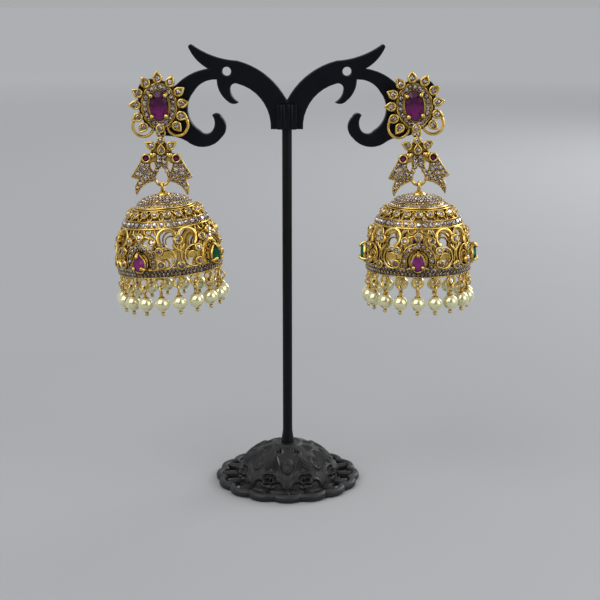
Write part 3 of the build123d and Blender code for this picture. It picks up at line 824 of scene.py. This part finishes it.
# --- Stud ---
def petal_line(radius, tip, steps=30):
    """A petal's outline: a circle, and two tangents that meet at a tip above it."""
    touch = np.arccos(radius / tip)
    t = np.pi / 2 + touch + (2 * np.pi - 2 * touch) * np.linspace(0, 1, steps)
    circle = radius * np.stack([np.cos(t), np.sin(t)], -1)
    up = np.linspace(0, 1, 6)[1:-1, None]
    side = circle[-1] + (np.array([0, tip]) - circle[-1]) * up
    points = np.vstack([circle, side, [(0, tip)], side[::-1] * (-1, 1)])
    return np.insert(points, 2, 0.0, axis=1)


def petal_cup(radius, tip, thick):
    """A petal's rim: a round wire along its outline, over the plate's own petal."""
    return wire(thick, petal_line(radius, tip), (0, 0, 1), closed=True)


def claws_round(x, z, y, reach, turn=0.0, count=4):
    """Frames of the beads that hold a round stone: a ring of them about each place."""
    a = np.radians(turn + (np.arange(count) + 0.5) * 360 / count)
    x, z = np.atleast_1d(x)[:, None], np.atleast_1d(z)[:, None]
    reach = np.broadcast_to(np.reshape(reach, (-1, 1)), (len(x), 1))
    return in_front((x + reach * np.sin(a)).ravel(), (z + reach * np.cos(a)).ravel(), y)


def stud_petals():
    """Places of the stud's eleven petals: x, z and turn."""
    turn = np.radians(PETALS[:, 0])
    return PETALS[:, 1] * np.sin(turn), PETALS[:, 1] * np.cos(turn), PETALS[:, 0]


def stud_wires(bead_radius):
    """The stud's overlay: round loops, petal rims, the ruby's bezel and claws, the halo's edge,
    and beads that hold the small stones."""
    parts = []
    for x, start in ((LOOP_X, np.pi), (-LOOP_X, np.radians(110))):
        a = start + angles(0, 250, 60)
        path = [x + LOOP_RADIUS * np.cos(a), 0 * a - PLATE / 2, LOOP_Z + LOOP_RADIUS * np.sin(a)]
        parts.append(wire(0.41, np.stack(path, -1), sides=12))
    x, z, turn = stud_petals()
    parts.append(copies(petal_cup(1.02, 1.72, 0.3), in_front(x, z, PETAL_FACE, turn)))
    parts.append(copies(ring(0.98, 0.28, 24), in_front(0, STUD_FOOT_Z, PETAL_FACE)))
    t = turns(HALO_STONES)
    level = -PLATE - PROUD / 2 - 0.12
    a, b = HALO_LINE
    beads = [in_front((a + k) * np.cos(t), (b + k) * np.sin(t), level) for k in (-0.66, 0.66)]
    x, z = np.append(x, 0), np.append(z, STUD_FOOT_Z)
    beads.append(claws_round(x, z, PETAL_FACE - 0.15, 0.74, 45))
    parts.append(copies(bead(bead_radius), np.concatenate(beads)))
    claw = np.array([(2.4, -0.2, 3.35), (2.4, -1.0, 3.3), (2.25, -1.6, 3.05), (2.0, -1.85, 2.8)])
    for sx in (-1, 1):
        for sz in (-1, 1):
            parts.append(wire(0.42, claw * (sx, 1, sz) - (0, PLATE, 0), (sx, 0.1, 0)))
            parts.append(copies(bead(0.6, 8, 12), in_front(sx * 1.9, sz * 2.72, -PLATE - 1.8)))
    t = turns(60)
    bezel = np.stack([2.66 * np.cos(t), 0 * t - PLATE - 0.2, 4.2 * np.sin(t)], -1)
    edge = np.stack([4.72 * np.cos(t), 0 * t - PLATE - 0.3, 5.92 * np.sin(t)], -1)
    parts.append(carried(strip_profile(0.2, -0.2, 0.2, 0.06), bezel, (0, -1, 0), closed=True))
    parts.append(wire(0.2, edge, closed=True))
    return joined(*parts)


def stud_stones():
    """The stud's white stones: the halo's twenty and one in each petal and in the foot."""
    t = turns(HALO_STONES) + np.pi / HALO_STONES
    a, b = HALO_LINE
    halo = in_front(a * np.cos(t), b * np.sin(t), -PLATE - PROUD / 2 - 0.08)
    x, z, _ = stud_petals()
    petals = in_front(np.append(x, 0), np.append(z, STUD_FOOT_Z), PETAL_FACE - 0.1)
    return joined(copies(brilliant(0.68, 0.4), halo), copies(brilliant(0.76, 0.36), petals))


# --- Link ---
# right half of the link's plate, the gap by its wing, and its small stones: x, z and radius
LINK_OUTLINE = np.array(
    [
        (0, -9.4), (0.85, -9.6), (2.1, -11.0), (2.95, -12.8), (4.1, -13.0), (5.15, -13.9),
        (8.3, -19.25), (6.35, -19.9), (7.0, -21.0), (7.25, -21.85), (7.25, -23.0), (7.05, -24.05),
        (6.35, -22.7), (5.35, -21.55), (3.7, -20.6), (1.85, -20.1), (1.8, -19.2), (1.5, -18.45),
        (0.9, -17.4), (0, -16.3),
    ]
)
LINK_GAP = np.array([(1.95, -14.95), (3.15, -15.5), (2.95, -16.7), (2.3, -17.9), (1.55, -16.4)])
LINK_STONES = np.array(
    [
        (0.72, -13.75, 0.6), (0.76, -15.05, 0.62), (0.85, -16.3, 0.52), (1.42, -17.5, 0.46),
        (2.05, -18.65, 0.5), (2.4, -19.65, 0.4), (3.95, -15.95, 0.56), (5.3, -15.85, 0.6),
        (3.62, -17.15, 0.54), (4.85, -17.1, 0.6), (6.1, -17.05, 0.6), (3.1, -18.3, 0.5),
        (4.25, -18.35, 0.58), (5.5, -18.35, 0.6), (6.75, -18.3, 0.56), (3.4, -19.4, 0.5),
        (4.55, -19.6, 0.54), (5.7, -19.6, 0.5), (3.6, -20.2, 0.3), (4.9, -20.65, 0.46),
        (5.95, -20.85, 0.52), (6.0, -21.8, 0.3), (6.65, -22.0, 0.4), (6.85, -23.0, 0.26),
        (7.6, -19.1, 0.3),
    ]
)


def link_stones():
    """The link's white stones, set flush in its face and in its petals."""
    x, z, radius = np.vstack([LINK_STONES, LINK_STONES * (-1, 1, 1)]).T
    small = copies(brilliant(1.0, 0.5, 0.5), in_front(x, z, -PLATE - 0.12), 1.15 * radius)
    x, z, _, _ = np.array(LINK_PETALS).T
    return joined(small, copies(brilliant(0.72, 0.34), in_front(x, z, PETAL_FACE - 0.1)))


def link_wires(bead_radius):
    """The link's overlay: edge wires, petal rims, the eyes' bezels, the birds' heads, the yoke, and
    the beads that hold the small stones."""
    parts = []
    for sign in (1, -1):
        outline = LINK_OUTLINE * (sign, 1)
        path = np.insert(outline[1:-1] * (0.985, 1), 1, -PLATE, axis=1)
        parts.append(wire(0.2, path))
        parts.append(wire(0.18, np.insert(LINK_GAP * (sign, 1), 1, -PLATE, axis=1), closed=True))
        head = in_front(sign * 2.5, -13.25, -PLATE - 0.3, sign * 50)
        parts.append(copies(bead(0.8, 10, 14, squash=0.8), head))
        neck = in_front(sign * 1.85, -13.0, -PLATE - 0.2)
        parts.append(copies(bead(0.6, 8, 12), neck))
        parts.append(copies(ring(1.03, 0.24, 26, 10), in_front(sign * 4.1, -14.0, -PLATE - 0.95)))
    for x, z, turn, tip in LINK_PETALS:
        rim = petal_cup(0.95, tip - 0.1, 0.27) if tip else ring(0.85, 0.25, 22, 8)
        parts.append(copies(rim, in_front(x, z, PETAL_FACE, turn)))
    t = angles(0, 180, 30)
    yoke = SWING_Z + YOKE_RADIUS * (1 - np.sin(t))
    parts.append(wire(0.38, np.stack([YOKE_RADIUS * np.cos(t), 0 * t + HANG_Y, yoke], -1), sides=12))
    x, z, _, _ = np.array(LINK_PETALS).T
    beads = [claws_round(x, z, PETAL_FACE - 0.15, 0.72, 45)]
    x, z, radius = np.vstack([LINK_STONES, LINK_STONES * (-1, 1, 1)]).T
    beads.append(claws_round(x, z, -PLATE - 0.2, 1.15 * radius + 0.04, 10))
    parts.append(copies(bead(bead_radius), np.concatenate(beads)))
    return joined(*parts)


# --- Bell ---
def dome_angle(height):
    """The angle t at which the dome's ellipse reaches a height."""
    return np.arcsin((height - BELL_SKIRT) / BELL_RISE)


def dome_line(t, wall=0.0):
    """The dome's ellipse set in by a wall: ((R - w) cos t, skirt + (H - w) sin t)."""
    radius, rise = BELL_RADIUS - wall, BELL_RISE - wall
    return np.stack([radius * np.cos(t), BELL_SKIRT + rise * np.sin(t)], -1)


def dome_rows(low, top_radius, pitch):
    """Rows up the dome a pitch apart: their heights, and how many stones a pitch apart fit each."""
    r, h = dome_line(np.linspace(dome_angle(low), np.arccos(top_radius / BELL_RADIUS), 400)).T
    length = np.concatenate([[0], np.cumsum(np.hypot(np.diff(r), np.diff(h)))])
    rows = np.linspace(0, length[-1], int(length[-1] / pitch) + 1)
    around = 2 * np.pi * np.interp(rows, length, r) / pitch
    return list(zip(np.interp(rows, length, h), around.astype(int)))


def shell(low, high, wall, steps, sides=96):
    """A band of the bell's wall from one height to another, with a smooth round face outside and
    inside: the ellipse's points with the cap's bulge, and those set in by the wall, as one loop."""
    t = np.linspace(dome_angle(low), dome_angle(high), steps)
    outer = dome_line(t)
    normal = unit(np.stack([np.cos(t) / BELL_RADIUS, np.sin(t) / BELL_RISE], -1))
    outer += cap_bulge(outer[:, 1])[:, None] * normal
    return turned(np.concatenate([outer, dome_line(t, wall)[::-1]]), sides, closed=True)


def wall_wire(height, thick, lift=0.0):
    """A round wire laid round the bell at a height."""
    place = on_bell(0.0, height, lift)[0]
    return copies(ring(abs(place[1, 3]), thick, 96), moved(0, 0, place[2, 3]))


def collet(radius, bore, low=-0.9, high=0.72):
    """A round collet about the normal: a closed loop of a straight outside, a rolled lip and a
    bore that opens upwards, turned."""
    lip = radius - 0.14
    profile = [
        (radius - 0.1, low), (radius, low + 0.12), (radius, high - 0.18), (lip, high - 0.02),
        ((lip + bore) / 2, high), (bore + 0.02, high - 0.1), (bore - 0.05, high - 0.5),
        (bore * 0.6, low + 0.3), (bore * 0.6, low),
    ]
    return turned(profile, 20, closed=True)


def crown_shape():
    """The gold of the crown: the cap's shell, the two round bands, their wires and the row of
    twenty collets that stand between them."""
    top = BELL_SKIRT + BELL_RISE - 0.02
    parts = [shell(17.05, top, 0.9, 14), shell(12.7, 14.45, 0.9, 5)]
    for height, thick in ((12.8, 0.27), (14.6, 0.15), (17.1, 0.24), (17.55, 0.33)):
        parts.append(wall_wire(height, thick, 0.05))
    parts.append(copies(collet(1.12, 0.7), round_bell(CROWN_COLLETS, CROWN_HEIGHT, 0.0)))
    t = np.linspace(0, 1, 7)
    bow = 0.7 - 0.85 * np.abs(2 * t - 1) ** 2
    for lean in (-1, 1):
        bar = laid(strip_profile(0.4, -0.7, 0.1), lean * bow, 14.5 + 2.6 * t, 180 / CROWN_COLLETS)
        parts.append(copies(bar, spins(CROWN_COLLETS)))
    azimuth = np.arange(CROWN_COLLETS) * 360 / CROWN_COLLETS
    a = turns(4) + np.pi / 4
    for across, up in zip(0.82 * np.cos(a), 0.68 * np.sin(a)):
        parts.append(copies(bead(0.24), along_wall(across, CROWN_HEIGHT + up, azimuth, 0.74)))
    return joined(*parts)


def pear_path(width, length, steps=40):
    """A pear's outline with its point up: (w sin t (1 - 0.55 max(0, cos t)^2), l cos t) / 2."""
    t = turns(steps)
    narrowing = 1 - 0.55 * np.maximum(0, np.cos(t)) ** 2
    return np.stack([width / 2 * np.sin(t) * narrowing, length / 2 * np.cos(t), 0 * t], -1)


def motif_line(t, reach=1.0):
    """The horseshoe round a pear stone: across and height at an angle from its top."""
    return 3.75 * reach * np.sin(t), 4.35 + 3.95 * reach * np.cos(t)


def openwork_hoops(thick):
    """The openwork's round lines: half width, middle height, half height, first and last angle,
    steps, azimuth of the middle, and the strip's section."""
    return [
        (2.75, 5.15, 2.8, -125, 118, 40, 28.5, (2 * thick, -0.75, 0.35, 0.1)),
        (1.5, 4.9, 1.5, 200, -30, 24, 30.5, (1.7 * thick, -0.6, 0.2, 0.1)),
        (2.55, 10.15, 2.5, 18, 232, 34, 32.5, (0.72, -0.95, 0.3)),
        (0.95, 12.35, -0.95, -20, 200, 20, 8.5, (0.34, -0.7, 0.1)),
        (0.7, 12.5, -1.3, -20, 200, 20, 21.5, (0.34, -0.7, 0.1)),
    ]


def openwork_bars():
    """The openwork's other lines, from t = 0 to 1: across, height, azimuth and section."""
    t, u = np.linspace(0, 1, 9), np.linspace(0, 1, 8)
    return [
        (0.62 - 0.35 * np.sin(np.pi * t), 8.6 - 4.5 * t, 45.0, (0.42, -0.9, 0.15)),
        (0.9 + 1.9 * t, 8.6 - 1.9 * t**0.6, 35.0, (0.6, -0.7, 0.3)),
        (1.0 + 2.5 * t, 11.0 - 1.2 * t * t, 0.0, (0.5, -0.7, 0.1)),
        (3.6 + 1.9 * t, 9.4 - 2.2 * t, 0.0, (0.45, -0.7, 0.1)),
        (1.2 + 3.3 * u, 2.9 + 1.4 * np.sin(np.pi * u), 30.0, (0.36, -0.8, 0.1)),
    ]


def openwork_shape(thick):
    """One quarter's openwork, then the same in each quarter: the pear stone's bezel and claws, a
    horseshoe strip round it, collets, hoops of wire, flat arches and bars. A solid rim closes
    them off below."""
    bezel = carried(
        strip_profile(0.34, -0.8, 0.2, 0.1), pear_path(3.75, 5.05), (0, 0, 1), closed=True
    )
    parts = [copies(bezel, on_bell(0, PEAR_LEVEL, 0.7))]
    seat = on_bell(0, PEAR_LEVEL, 0.5)
    for x, y in ((0, 2.45), (1.55, -1.35), (-1.55, -1.35)):
        post = [
            (x * 1.12, y * 1.12, -0.9), (x * 1.14, y * 1.14, 0.3), (x, y, 1.0),
            (x * 0.78, y * 0.8, 1.22),
        ]
        parts.append(copies(wire(0.4, post, (y, -x, 0.01)), seat))
        parts.append(copies(copies(bead(0.52, 8, 12), moved(x * 0.8, y * 0.84, 1.2)), seat))
    t = angles(-122, 122, 46)
    parts.append(laid(strip_profile(1.5, -0.8, -0.05), *motif_line(t)))
    edge = laid(round_profile(0.9 * thick), 4.65 * np.sin(t), 4.3 + 4.75 * np.cos(t))
    t = angles(-122, 122, 30)
    well = laid(strip_profile(1.2, -0.95, -0.6), 2.5 * np.sin(t), 4.35 + 2.95 * np.cos(t))
    parts += [edge, well]
    a = turns(4) + np.pi / 4
    for azimuth, height, radius in COLLETS:
        parts.append(copies(collet(radius, 0.68), on_bell(azimuth, height)))
        lean = np.degrees((radius - 0.36) * np.cos(a) / wall_radius(height))
        claws = on_bell(azimuth + lean, height + (radius - 0.36) * np.sin(a), 0.76)
        parts.append(copies(bead(0.23), claws))
    for sign in (-1, 1):
        for wide, middle, tall, start, end, steps, azimuth, section in openwork_hoops(thick):
            t = angles(start, end, steps)
            across, height = sign * wide * np.cos(t), middle + tall * np.sin(t)
            parts.append(laid(strip_profile(*section), across, height, sign * azimuth))
        for across, height, azimuth, section in openwork_bars():
            parts.append(laid(strip_profile(*section), sign * across, height, sign * azimuth))
    rim = turned([(14.0, 0.05), (14.1, 2.3), (13.25, 2.3), (13.25, 0.05)], 96, closed=True)
    rim_wires = [wall_wire(height, 0.2) for height in (2.3, 0.12)]
    return joined(copies(joined(*parts), spins(4)), rim, *rim_wires)


def pave_places(sizes):
    """Frames of the bell's small stones and of the beads that hold them, with each stone's radius."""
    cap, band, rim = (value / MM for value in (sizes.cap_stone, sizes.band_stone, sizes.rim_stone))
    rows = dome_rows(17.85, 2.6, 2.3 * cap)
    stones, beads = [], []
    for k, (height, count) in enumerate(rows):
        bulge = cap_bulge(height)
        stones.append((round_bell(count, height, 0.08 + bulge, 0.37 * k), cap))
        if k + 1 < len(rows):
            middle = (height + rows[k + 1][0]) / 2
            beads.append(round_bell(count, middle, 0.1 + bulge, 0.37 * k + 0.5))
    stones.append((round_bell(BAND_STONES, BAND_HEIGHT, 0.12), band))
    stones.append((round_bell(CROWN_COLLETS, CROWN_HEIGHT, 0.62), COLLET_STONE))
    for height in (13.15, 14.4):
        beads.append(round_bell(BAND_STONES, height, 0.14, 0.5))
    for height, shift in ((0.72, 0.0), (1.72, 0.5)):
        stones.append((round_bell(RIM_STONES, height, 0.1, shift), rim))
    for height, shift in ((0.2, 0.5), (1.22, 0.0), (2.2, 0.5)):
        beads.append(round_bell(RIM_STONES, height, 0.18, shift))
    t = angles(-112, 112, 11)
    across, line = motif_line(t)
    between = (t[1:] + t[:-1]) / 2
    for quarter in QUARTER_TURNS:
        # the front motif's stones follow its horseshoe, and the other three motifs' lie in a
        # level row at its top
        height = line if quarter == 0 else MOTIF_TOP
        stones.append((along_wall(across, height, quarter, 0.12), 0.6))
        for reach in (0.82, 1.16):
            beads.append(along_wall(*motif_line(between, reach), quarter, 0.12))
        for azimuth, level, lift in ((38.5, 3.3, 0.0), (51.5, 3.3, 0.0), (0, MOTIF_TOP, 0.1)):
            stones.append((on_bell(quarter + azimuth, level, lift), 0.62))
        stones.append((on_bell(quarter + COLLETS[:, 0], COLLETS[:, 1], 0.62), COLLET_STONE))
    return stones, np.concatenate(beads)


# --- Fringe ---
def fringe_frames():
    """Frames of the drops: side along the rim, climb inwards and normal upwards."""
    a = np.radians(np.arange(DROPS) * 360 / DROPS)
    side = np.stack([np.cos(a), np.sin(a), 0 * a], -1)
    out = about_z(1.0, a, 0.0)
    return framed(side, -out, (0.0, 0.0, 1.0), FRINGE_RADIUS * out)


def drop_wires():
    """One drop's metal: the rim's ring, the pin's ring across it, a wrap of wire, a cap, the pin
    and the ball at its foot."""
    rim_ring = copies(ring(1.28, 0.34, 26), moved(0, 0, -1.45) @ spun(90, 0))
    pin_ring = copies(ring(1.0, 0.2, 24), moved(0, 0, -3.25) @ spun(90, 1))
    t = np.linspace(0, 3, 34)
    wrap = np.stack([0.3 * np.cos(2 * np.pi * t), 0.3 * np.sin(2 * np.pi * t), -4.2 - 0.3 * t], -1)
    coil = wire(0.17, wrap, (0, 0, 1), sides=6)
    cap = turned([(0, -5.0), (0.35, -5.02), (0.8, -5.25), (0.98, -5.42), (0.85, -5.42), (0, -5.3)], 14)
    pin = turned([(0, -3.9), (0.2, -3.95), (0.2, -9.4), (0, -9.5)], 8)
    ball = copies(bead(0.55, 8, 12), moved(0, 0, -9.85))
    collar = copies(ring(0.32, 0.16, 14, 6), moved(0, 0, -9.3))
    return joined(rim_ring, pin_ring, coil, cap, pin, ball, collar)


# --- Operators ---
def make_pairs(body, place, *pieces):
    """The same pieces on both earrings: each one's name, shape, finish, slot, which is not used, replaced
    nodes and crease angle. The body is the stand, or each earring's link or bell."""
    for side in SIDES:
        rides = body if body == "stand" else f"{side}_{body}"
        for name, shape, finish, slot, replaced, crease in pieces:
            nodes = [f"{side}_{node}" for node in replaced]
            make_piece(
                f"{side}_{name}", shape, finish_of(finish), rides, place(side), nodes, crease
            )


class JHUMKA_OT_frame_finishes(bpy.types.Operator):
    """Gives the frame's own parts their gold, stone and black finishes"""

    bl_idname = "jhumka.frame_finishes"
    bl_label = "Frame finishes"

    def execute(self, context):
        kinds = [
            ("emerald", "emerald"), ("stud_ruby", "stud_ruby"), ("link_rubies", "link_ruby"),
            ("bell_ruby", "bell_ruby"), ("stones", "white"), ("pearls", "pearl"), ("pole", "pole"),
            ("base", "foot"), ("arms", "arms"), ("", "gold"),
        ]
        for name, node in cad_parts.items():
            kind = next(kind for words, kind in kinds if words in name)
            node.data.materials.clear()
            node.data.materials.append(finish_of(kind))
        return {"FINISHED"}


class JHUMKA_OT_foot(bpy.types.Operator):
    """Casts the stand's foot: a hill with leaf and scroll relief inside a scalloped rim of loops"""

    bl_idname = "jhumka.foot"
    bl_label = "Foot"

    def execute(self, context):
        shape = foot_shape(context.scene.jhumka_sizes.relief / MM)
        make_piece(
            "foot_casting", shape, finish_of("foot"), "stand",
            replaced=["stand_base"], crease=50,
        )
        return {"FINISHED"}


class JHUMKA_OT_arms(bpy.types.Operator):
    """Cuts the two scroll arms with bevelled edges, and their hub"""

    bl_idname = "jhumka.arms"
    bl_label = "Arms"

    def execute(self, context):
        make_piece(
            "scroll_arms", arms_shape(), finish_of("arms"), "stand",
            replaced=["stand_arms"], crease=30,
        )
        return {"FINISHED"}


class JHUMKA_OT_studs(bpy.types.Operator):
    """Adds the studs' loops, claws, bezels and beads"""

    bl_idname = "jhumka.studs"
    bl_label = "Studs"

    def execute(self, context):
        wires = stud_wires(context.scene.jhumka_sizes.bead / MM)
        replaced = ["stud_halo_stones", "stud_petal_stones"]
        make_pairs(
            "stand", stud_frame,
            ("stud_wires", wires, "gold", "gold", [], 70),
            ("stud_pave", stud_stones(), "white", "white_stone", replaced, None),
        )
        return {"FINISHED"}


class JHUMKA_OT_links(bpy.types.Operator):
    """Sets the links' small stones and adds their wires, beads and birds' heads"""

    bl_idname = "jhumka.links"
    bl_label = "Links"

    def execute(self, context):
        wires = link_wires(context.scene.jhumka_sizes.bead / MM)
        make_pairs(
            "link", link_frame,
            ("link_wires", wires, "gold", "gold", [], 70),
            ("link_pave", link_stones(), "white", "white_stone", ["link_petal_stones"], None),
        )
        return {"FINISHED"}


class JHUMKA_OT_bells(bpy.types.Operator):
    """Builds the bells: the crown's bands and collets, and the openwork below them"""

    bl_idname = "jhumka.bells"
    bl_label = "Bells"

    def execute(self, context):
        openwork = openwork_shape(context.scene.jhumka_sizes.hoop_wire / MM)
        make_pairs(
            "bell", bell_frame,
            ("crown_gold", crown_shape(), "gold", "gold", ["bell"], 60),
            ("openwork", openwork, "gold", "gold", [], 50),
        )
        return {"FINISHED"}


class JHUMKA_OT_pave(bpy.types.Operator):
    """Sets the bells' small stones in rows, with the gold beads that hold them"""

    bl_idname = "jhumka.pave"
    bl_label = "Small stones"

    def execute(self, context):
        sizes = context.scene.jhumka_sizes
        stones, beads = pave_places(sizes)
        pave = joined(*[copies(brilliant(r, 0.5 * r, 0.5 * r), places) for places, r in stones])
        held = copies(bead(sizes.bead / MM), beads)
        make_pairs(
            "bell", bell_frame,
            ("bell_pave", pave, "white", "white_stone", ["crown_stones", "motif_stones"], None),
            ("bell_beads", held, "gold", "gold", [], 70),
        )
        return {"FINISHED"}


class JHUMKA_OT_fringe(bpy.types.Operator):
    """Hangs the pearls from the bells' rims on their wires"""

    bl_idname = "jhumka.fringe"
    bl_label = "Pearl fringe"

    def execute(self, context):
        wires = copies(drop_wires(), fringe_frames())
        pearl = copies(bead(PEARL_RADIUS, PEARL_ROWS, PEARL_COLUMNS), moved(0, 0, PEARL_Z))
        pearls = copies(pearl, fringe_frames())
        make_pairs(
            "bell", bell_frame,
            ("fringe_wires", wires, "gold", "gold", ["pearl_pins"], 70),
            ("fringe_pearls", pearls, "pearl", "pearl", ["pearls"], 70),
        )
        return {"FINISHED"}


def add_lamp(name, size, power, at, towards):
    """A square soft lamp that looks at a point."""
    lamp = bpy.data.lights.new(name, "AREA")
    lamp.size = size
    lamp.energy = power
    holder = bpy.data.objects.new(name, lamp)
    bpy.context.collection.objects.link(holder)
    holder.location = at
    holder.rotation_euler = (Vector(towards) - Vector(at)).to_track_quat("-Z", "Y").to_euler()


class JHUMKA_OT_stage(bpy.types.Operator):
    """Lays the pale floor, sets the soft lamps and the grey room, and places the camera"""

    bl_idname = "jhumka.stage"
    bl_label = "Stage"

    def execute(self, context):
        mesh = bpy.data.meshes.new("floor")
        t = turns(FLOOR_SIDES)
        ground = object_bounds()[0].z
        points = np.stack([FLOOR_REACH * np.cos(t), FLOOR_REACH * np.sin(t), 0 * t + ground], -1)
        mesh.from_pydata(points.tolist(), [], [list(range(FLOOR_SIDES))])
        made = Finish("floor_paint")
        tone = list(context.scene.jhumka_finishes.floor)
        far = made.add("ShaderNodeVectorMath", {0: made.where}, operation="LENGTH").outputs["Value"]
        # painted light: the floor is painted up to 2.1 times as pale far off, to stand in for lamp light that
        # falls off with distance
        pale = made.ramp(
            made.add("ShaderNodeMapRange", {"Value": far, "From Max": 3.0}).outputs[0],
            [(0.05, tone), (0.7, [c * 2.1 for c in tone])],
        )
        mesh.materials.append(made.done(Base_Color=pale, Roughness=made.span(made.noise(30), 0.7, 0.8)))
        floor = bpy.data.objects.new("floor", mesh)
        context.collection.objects.link(floor)
        floor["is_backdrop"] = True

        # a grey room, pale above and dark towards the front, and an even grey behind the object
        room = Finish("grey_room", "worlds", "Background", "Generated")
        sockets = {0: room.where, 1: (0.0, -0.97, 0.22)}
        facing = room.add("ShaderNodeVectorMath", sockets, operation="DOT_PRODUCT")
        walls = room.ramp(
            facing.outputs["Value"], [(0.6, (0.8, 0.81, 0.83)), (0.76, (0.12, 0.11, 0.1))]
        )
        seen = room.add("ShaderNodeLightPath").outputs["Is Camera Ray"]
        backdrop = room.mixed(seen, walls, (0.53, 0.54, 0.55, 1))
        context.scene.world = room.done(Color=backdrop, Strength=0.75)

        add_lamp("key_lamp", 0.8, 4.2, (-0.4, -0.45, 0.62), (0, 0, 0.08))
        add_lamp("fill_lamp", 0.6, 1.8, (0.55, -0.4, 0.35), (0, 0, 0.08))
        add_lamp("back_lamp", 0.5, 5.0, (0.8, 0.65, 0.5), (0.15, 0.1, 0.05))

        camera = bpy.data.objects.new("camera", bpy.data.cameras.new("camera"))
        context.collection.objects.link(camera)
        camera.data.lens = context.scene.jhumka_sizes.lens
        camera.data.sensor_width = SENSOR_WIDTH
        camera.data.clip_start = 0.01
        camera.location = CAMERA_AT
        camera.rotation_euler = (np.radians(CAMERA_PITCH), 0, 0)
        context.scene.camera = camera
        context.scene.view_settings.view_transform = "Standard"
        return {"FINISHED"}


OPERATORS = (
    JHUMKA_OT_frame_finishes,
    JHUMKA_OT_foot,
    JHUMKA_OT_arms,
    JHUMKA_OT_studs,
    JHUMKA_OT_links,
    JHUMKA_OT_bells,
    JHUMKA_OT_pave,
    JHUMKA_OT_fringe,
    JHUMKA_OT_stage,
)


class JHUMKA_PT_panel(bpy.types.Panel):
    """The pieces of the earrings and their stand"""

    bl_label = "Jhumka earrings"
    bl_idname = "JHUMKA_PT_panel"
    bl_space_type = "VIEW_3D"
    bl_region_type = "UI"
    bl_category = "Jhumka"

    def draw(self, context):
        for operator in OPERATORS:
            self.layout.operator(operator.bl_idname)


CLASSES = (JhumkaFinishes, JhumkaSizes, *OPERATORS, JHUMKA_PT_panel)


def register():
    for kind in CLASSES:
        bpy.utils.register_class(kind)
    bpy.types.Scene.jhumka_finishes = PointerProperty(type=JhumkaFinishes)
    bpy.types.Scene.jhumka_sizes = PointerProperty(type=JhumkaSizes)


def unregister():
    del bpy.types.Scene.jhumka_sizes
    del bpy.types.Scene.jhumka_finishes
    for kind in reversed(CLASSES):
        bpy.utils.unregister_class(kind)


def main():
    register()
    for operator in OPERATORS:
        group, name = operator.bl_idname.split(".")
        if "FINISHED" not in getattr(getattr(bpy.ops, group), name)():
            raise RuntimeError(f"{operator.bl_label} did not finish")


if __name__ == "__main__":
    main()
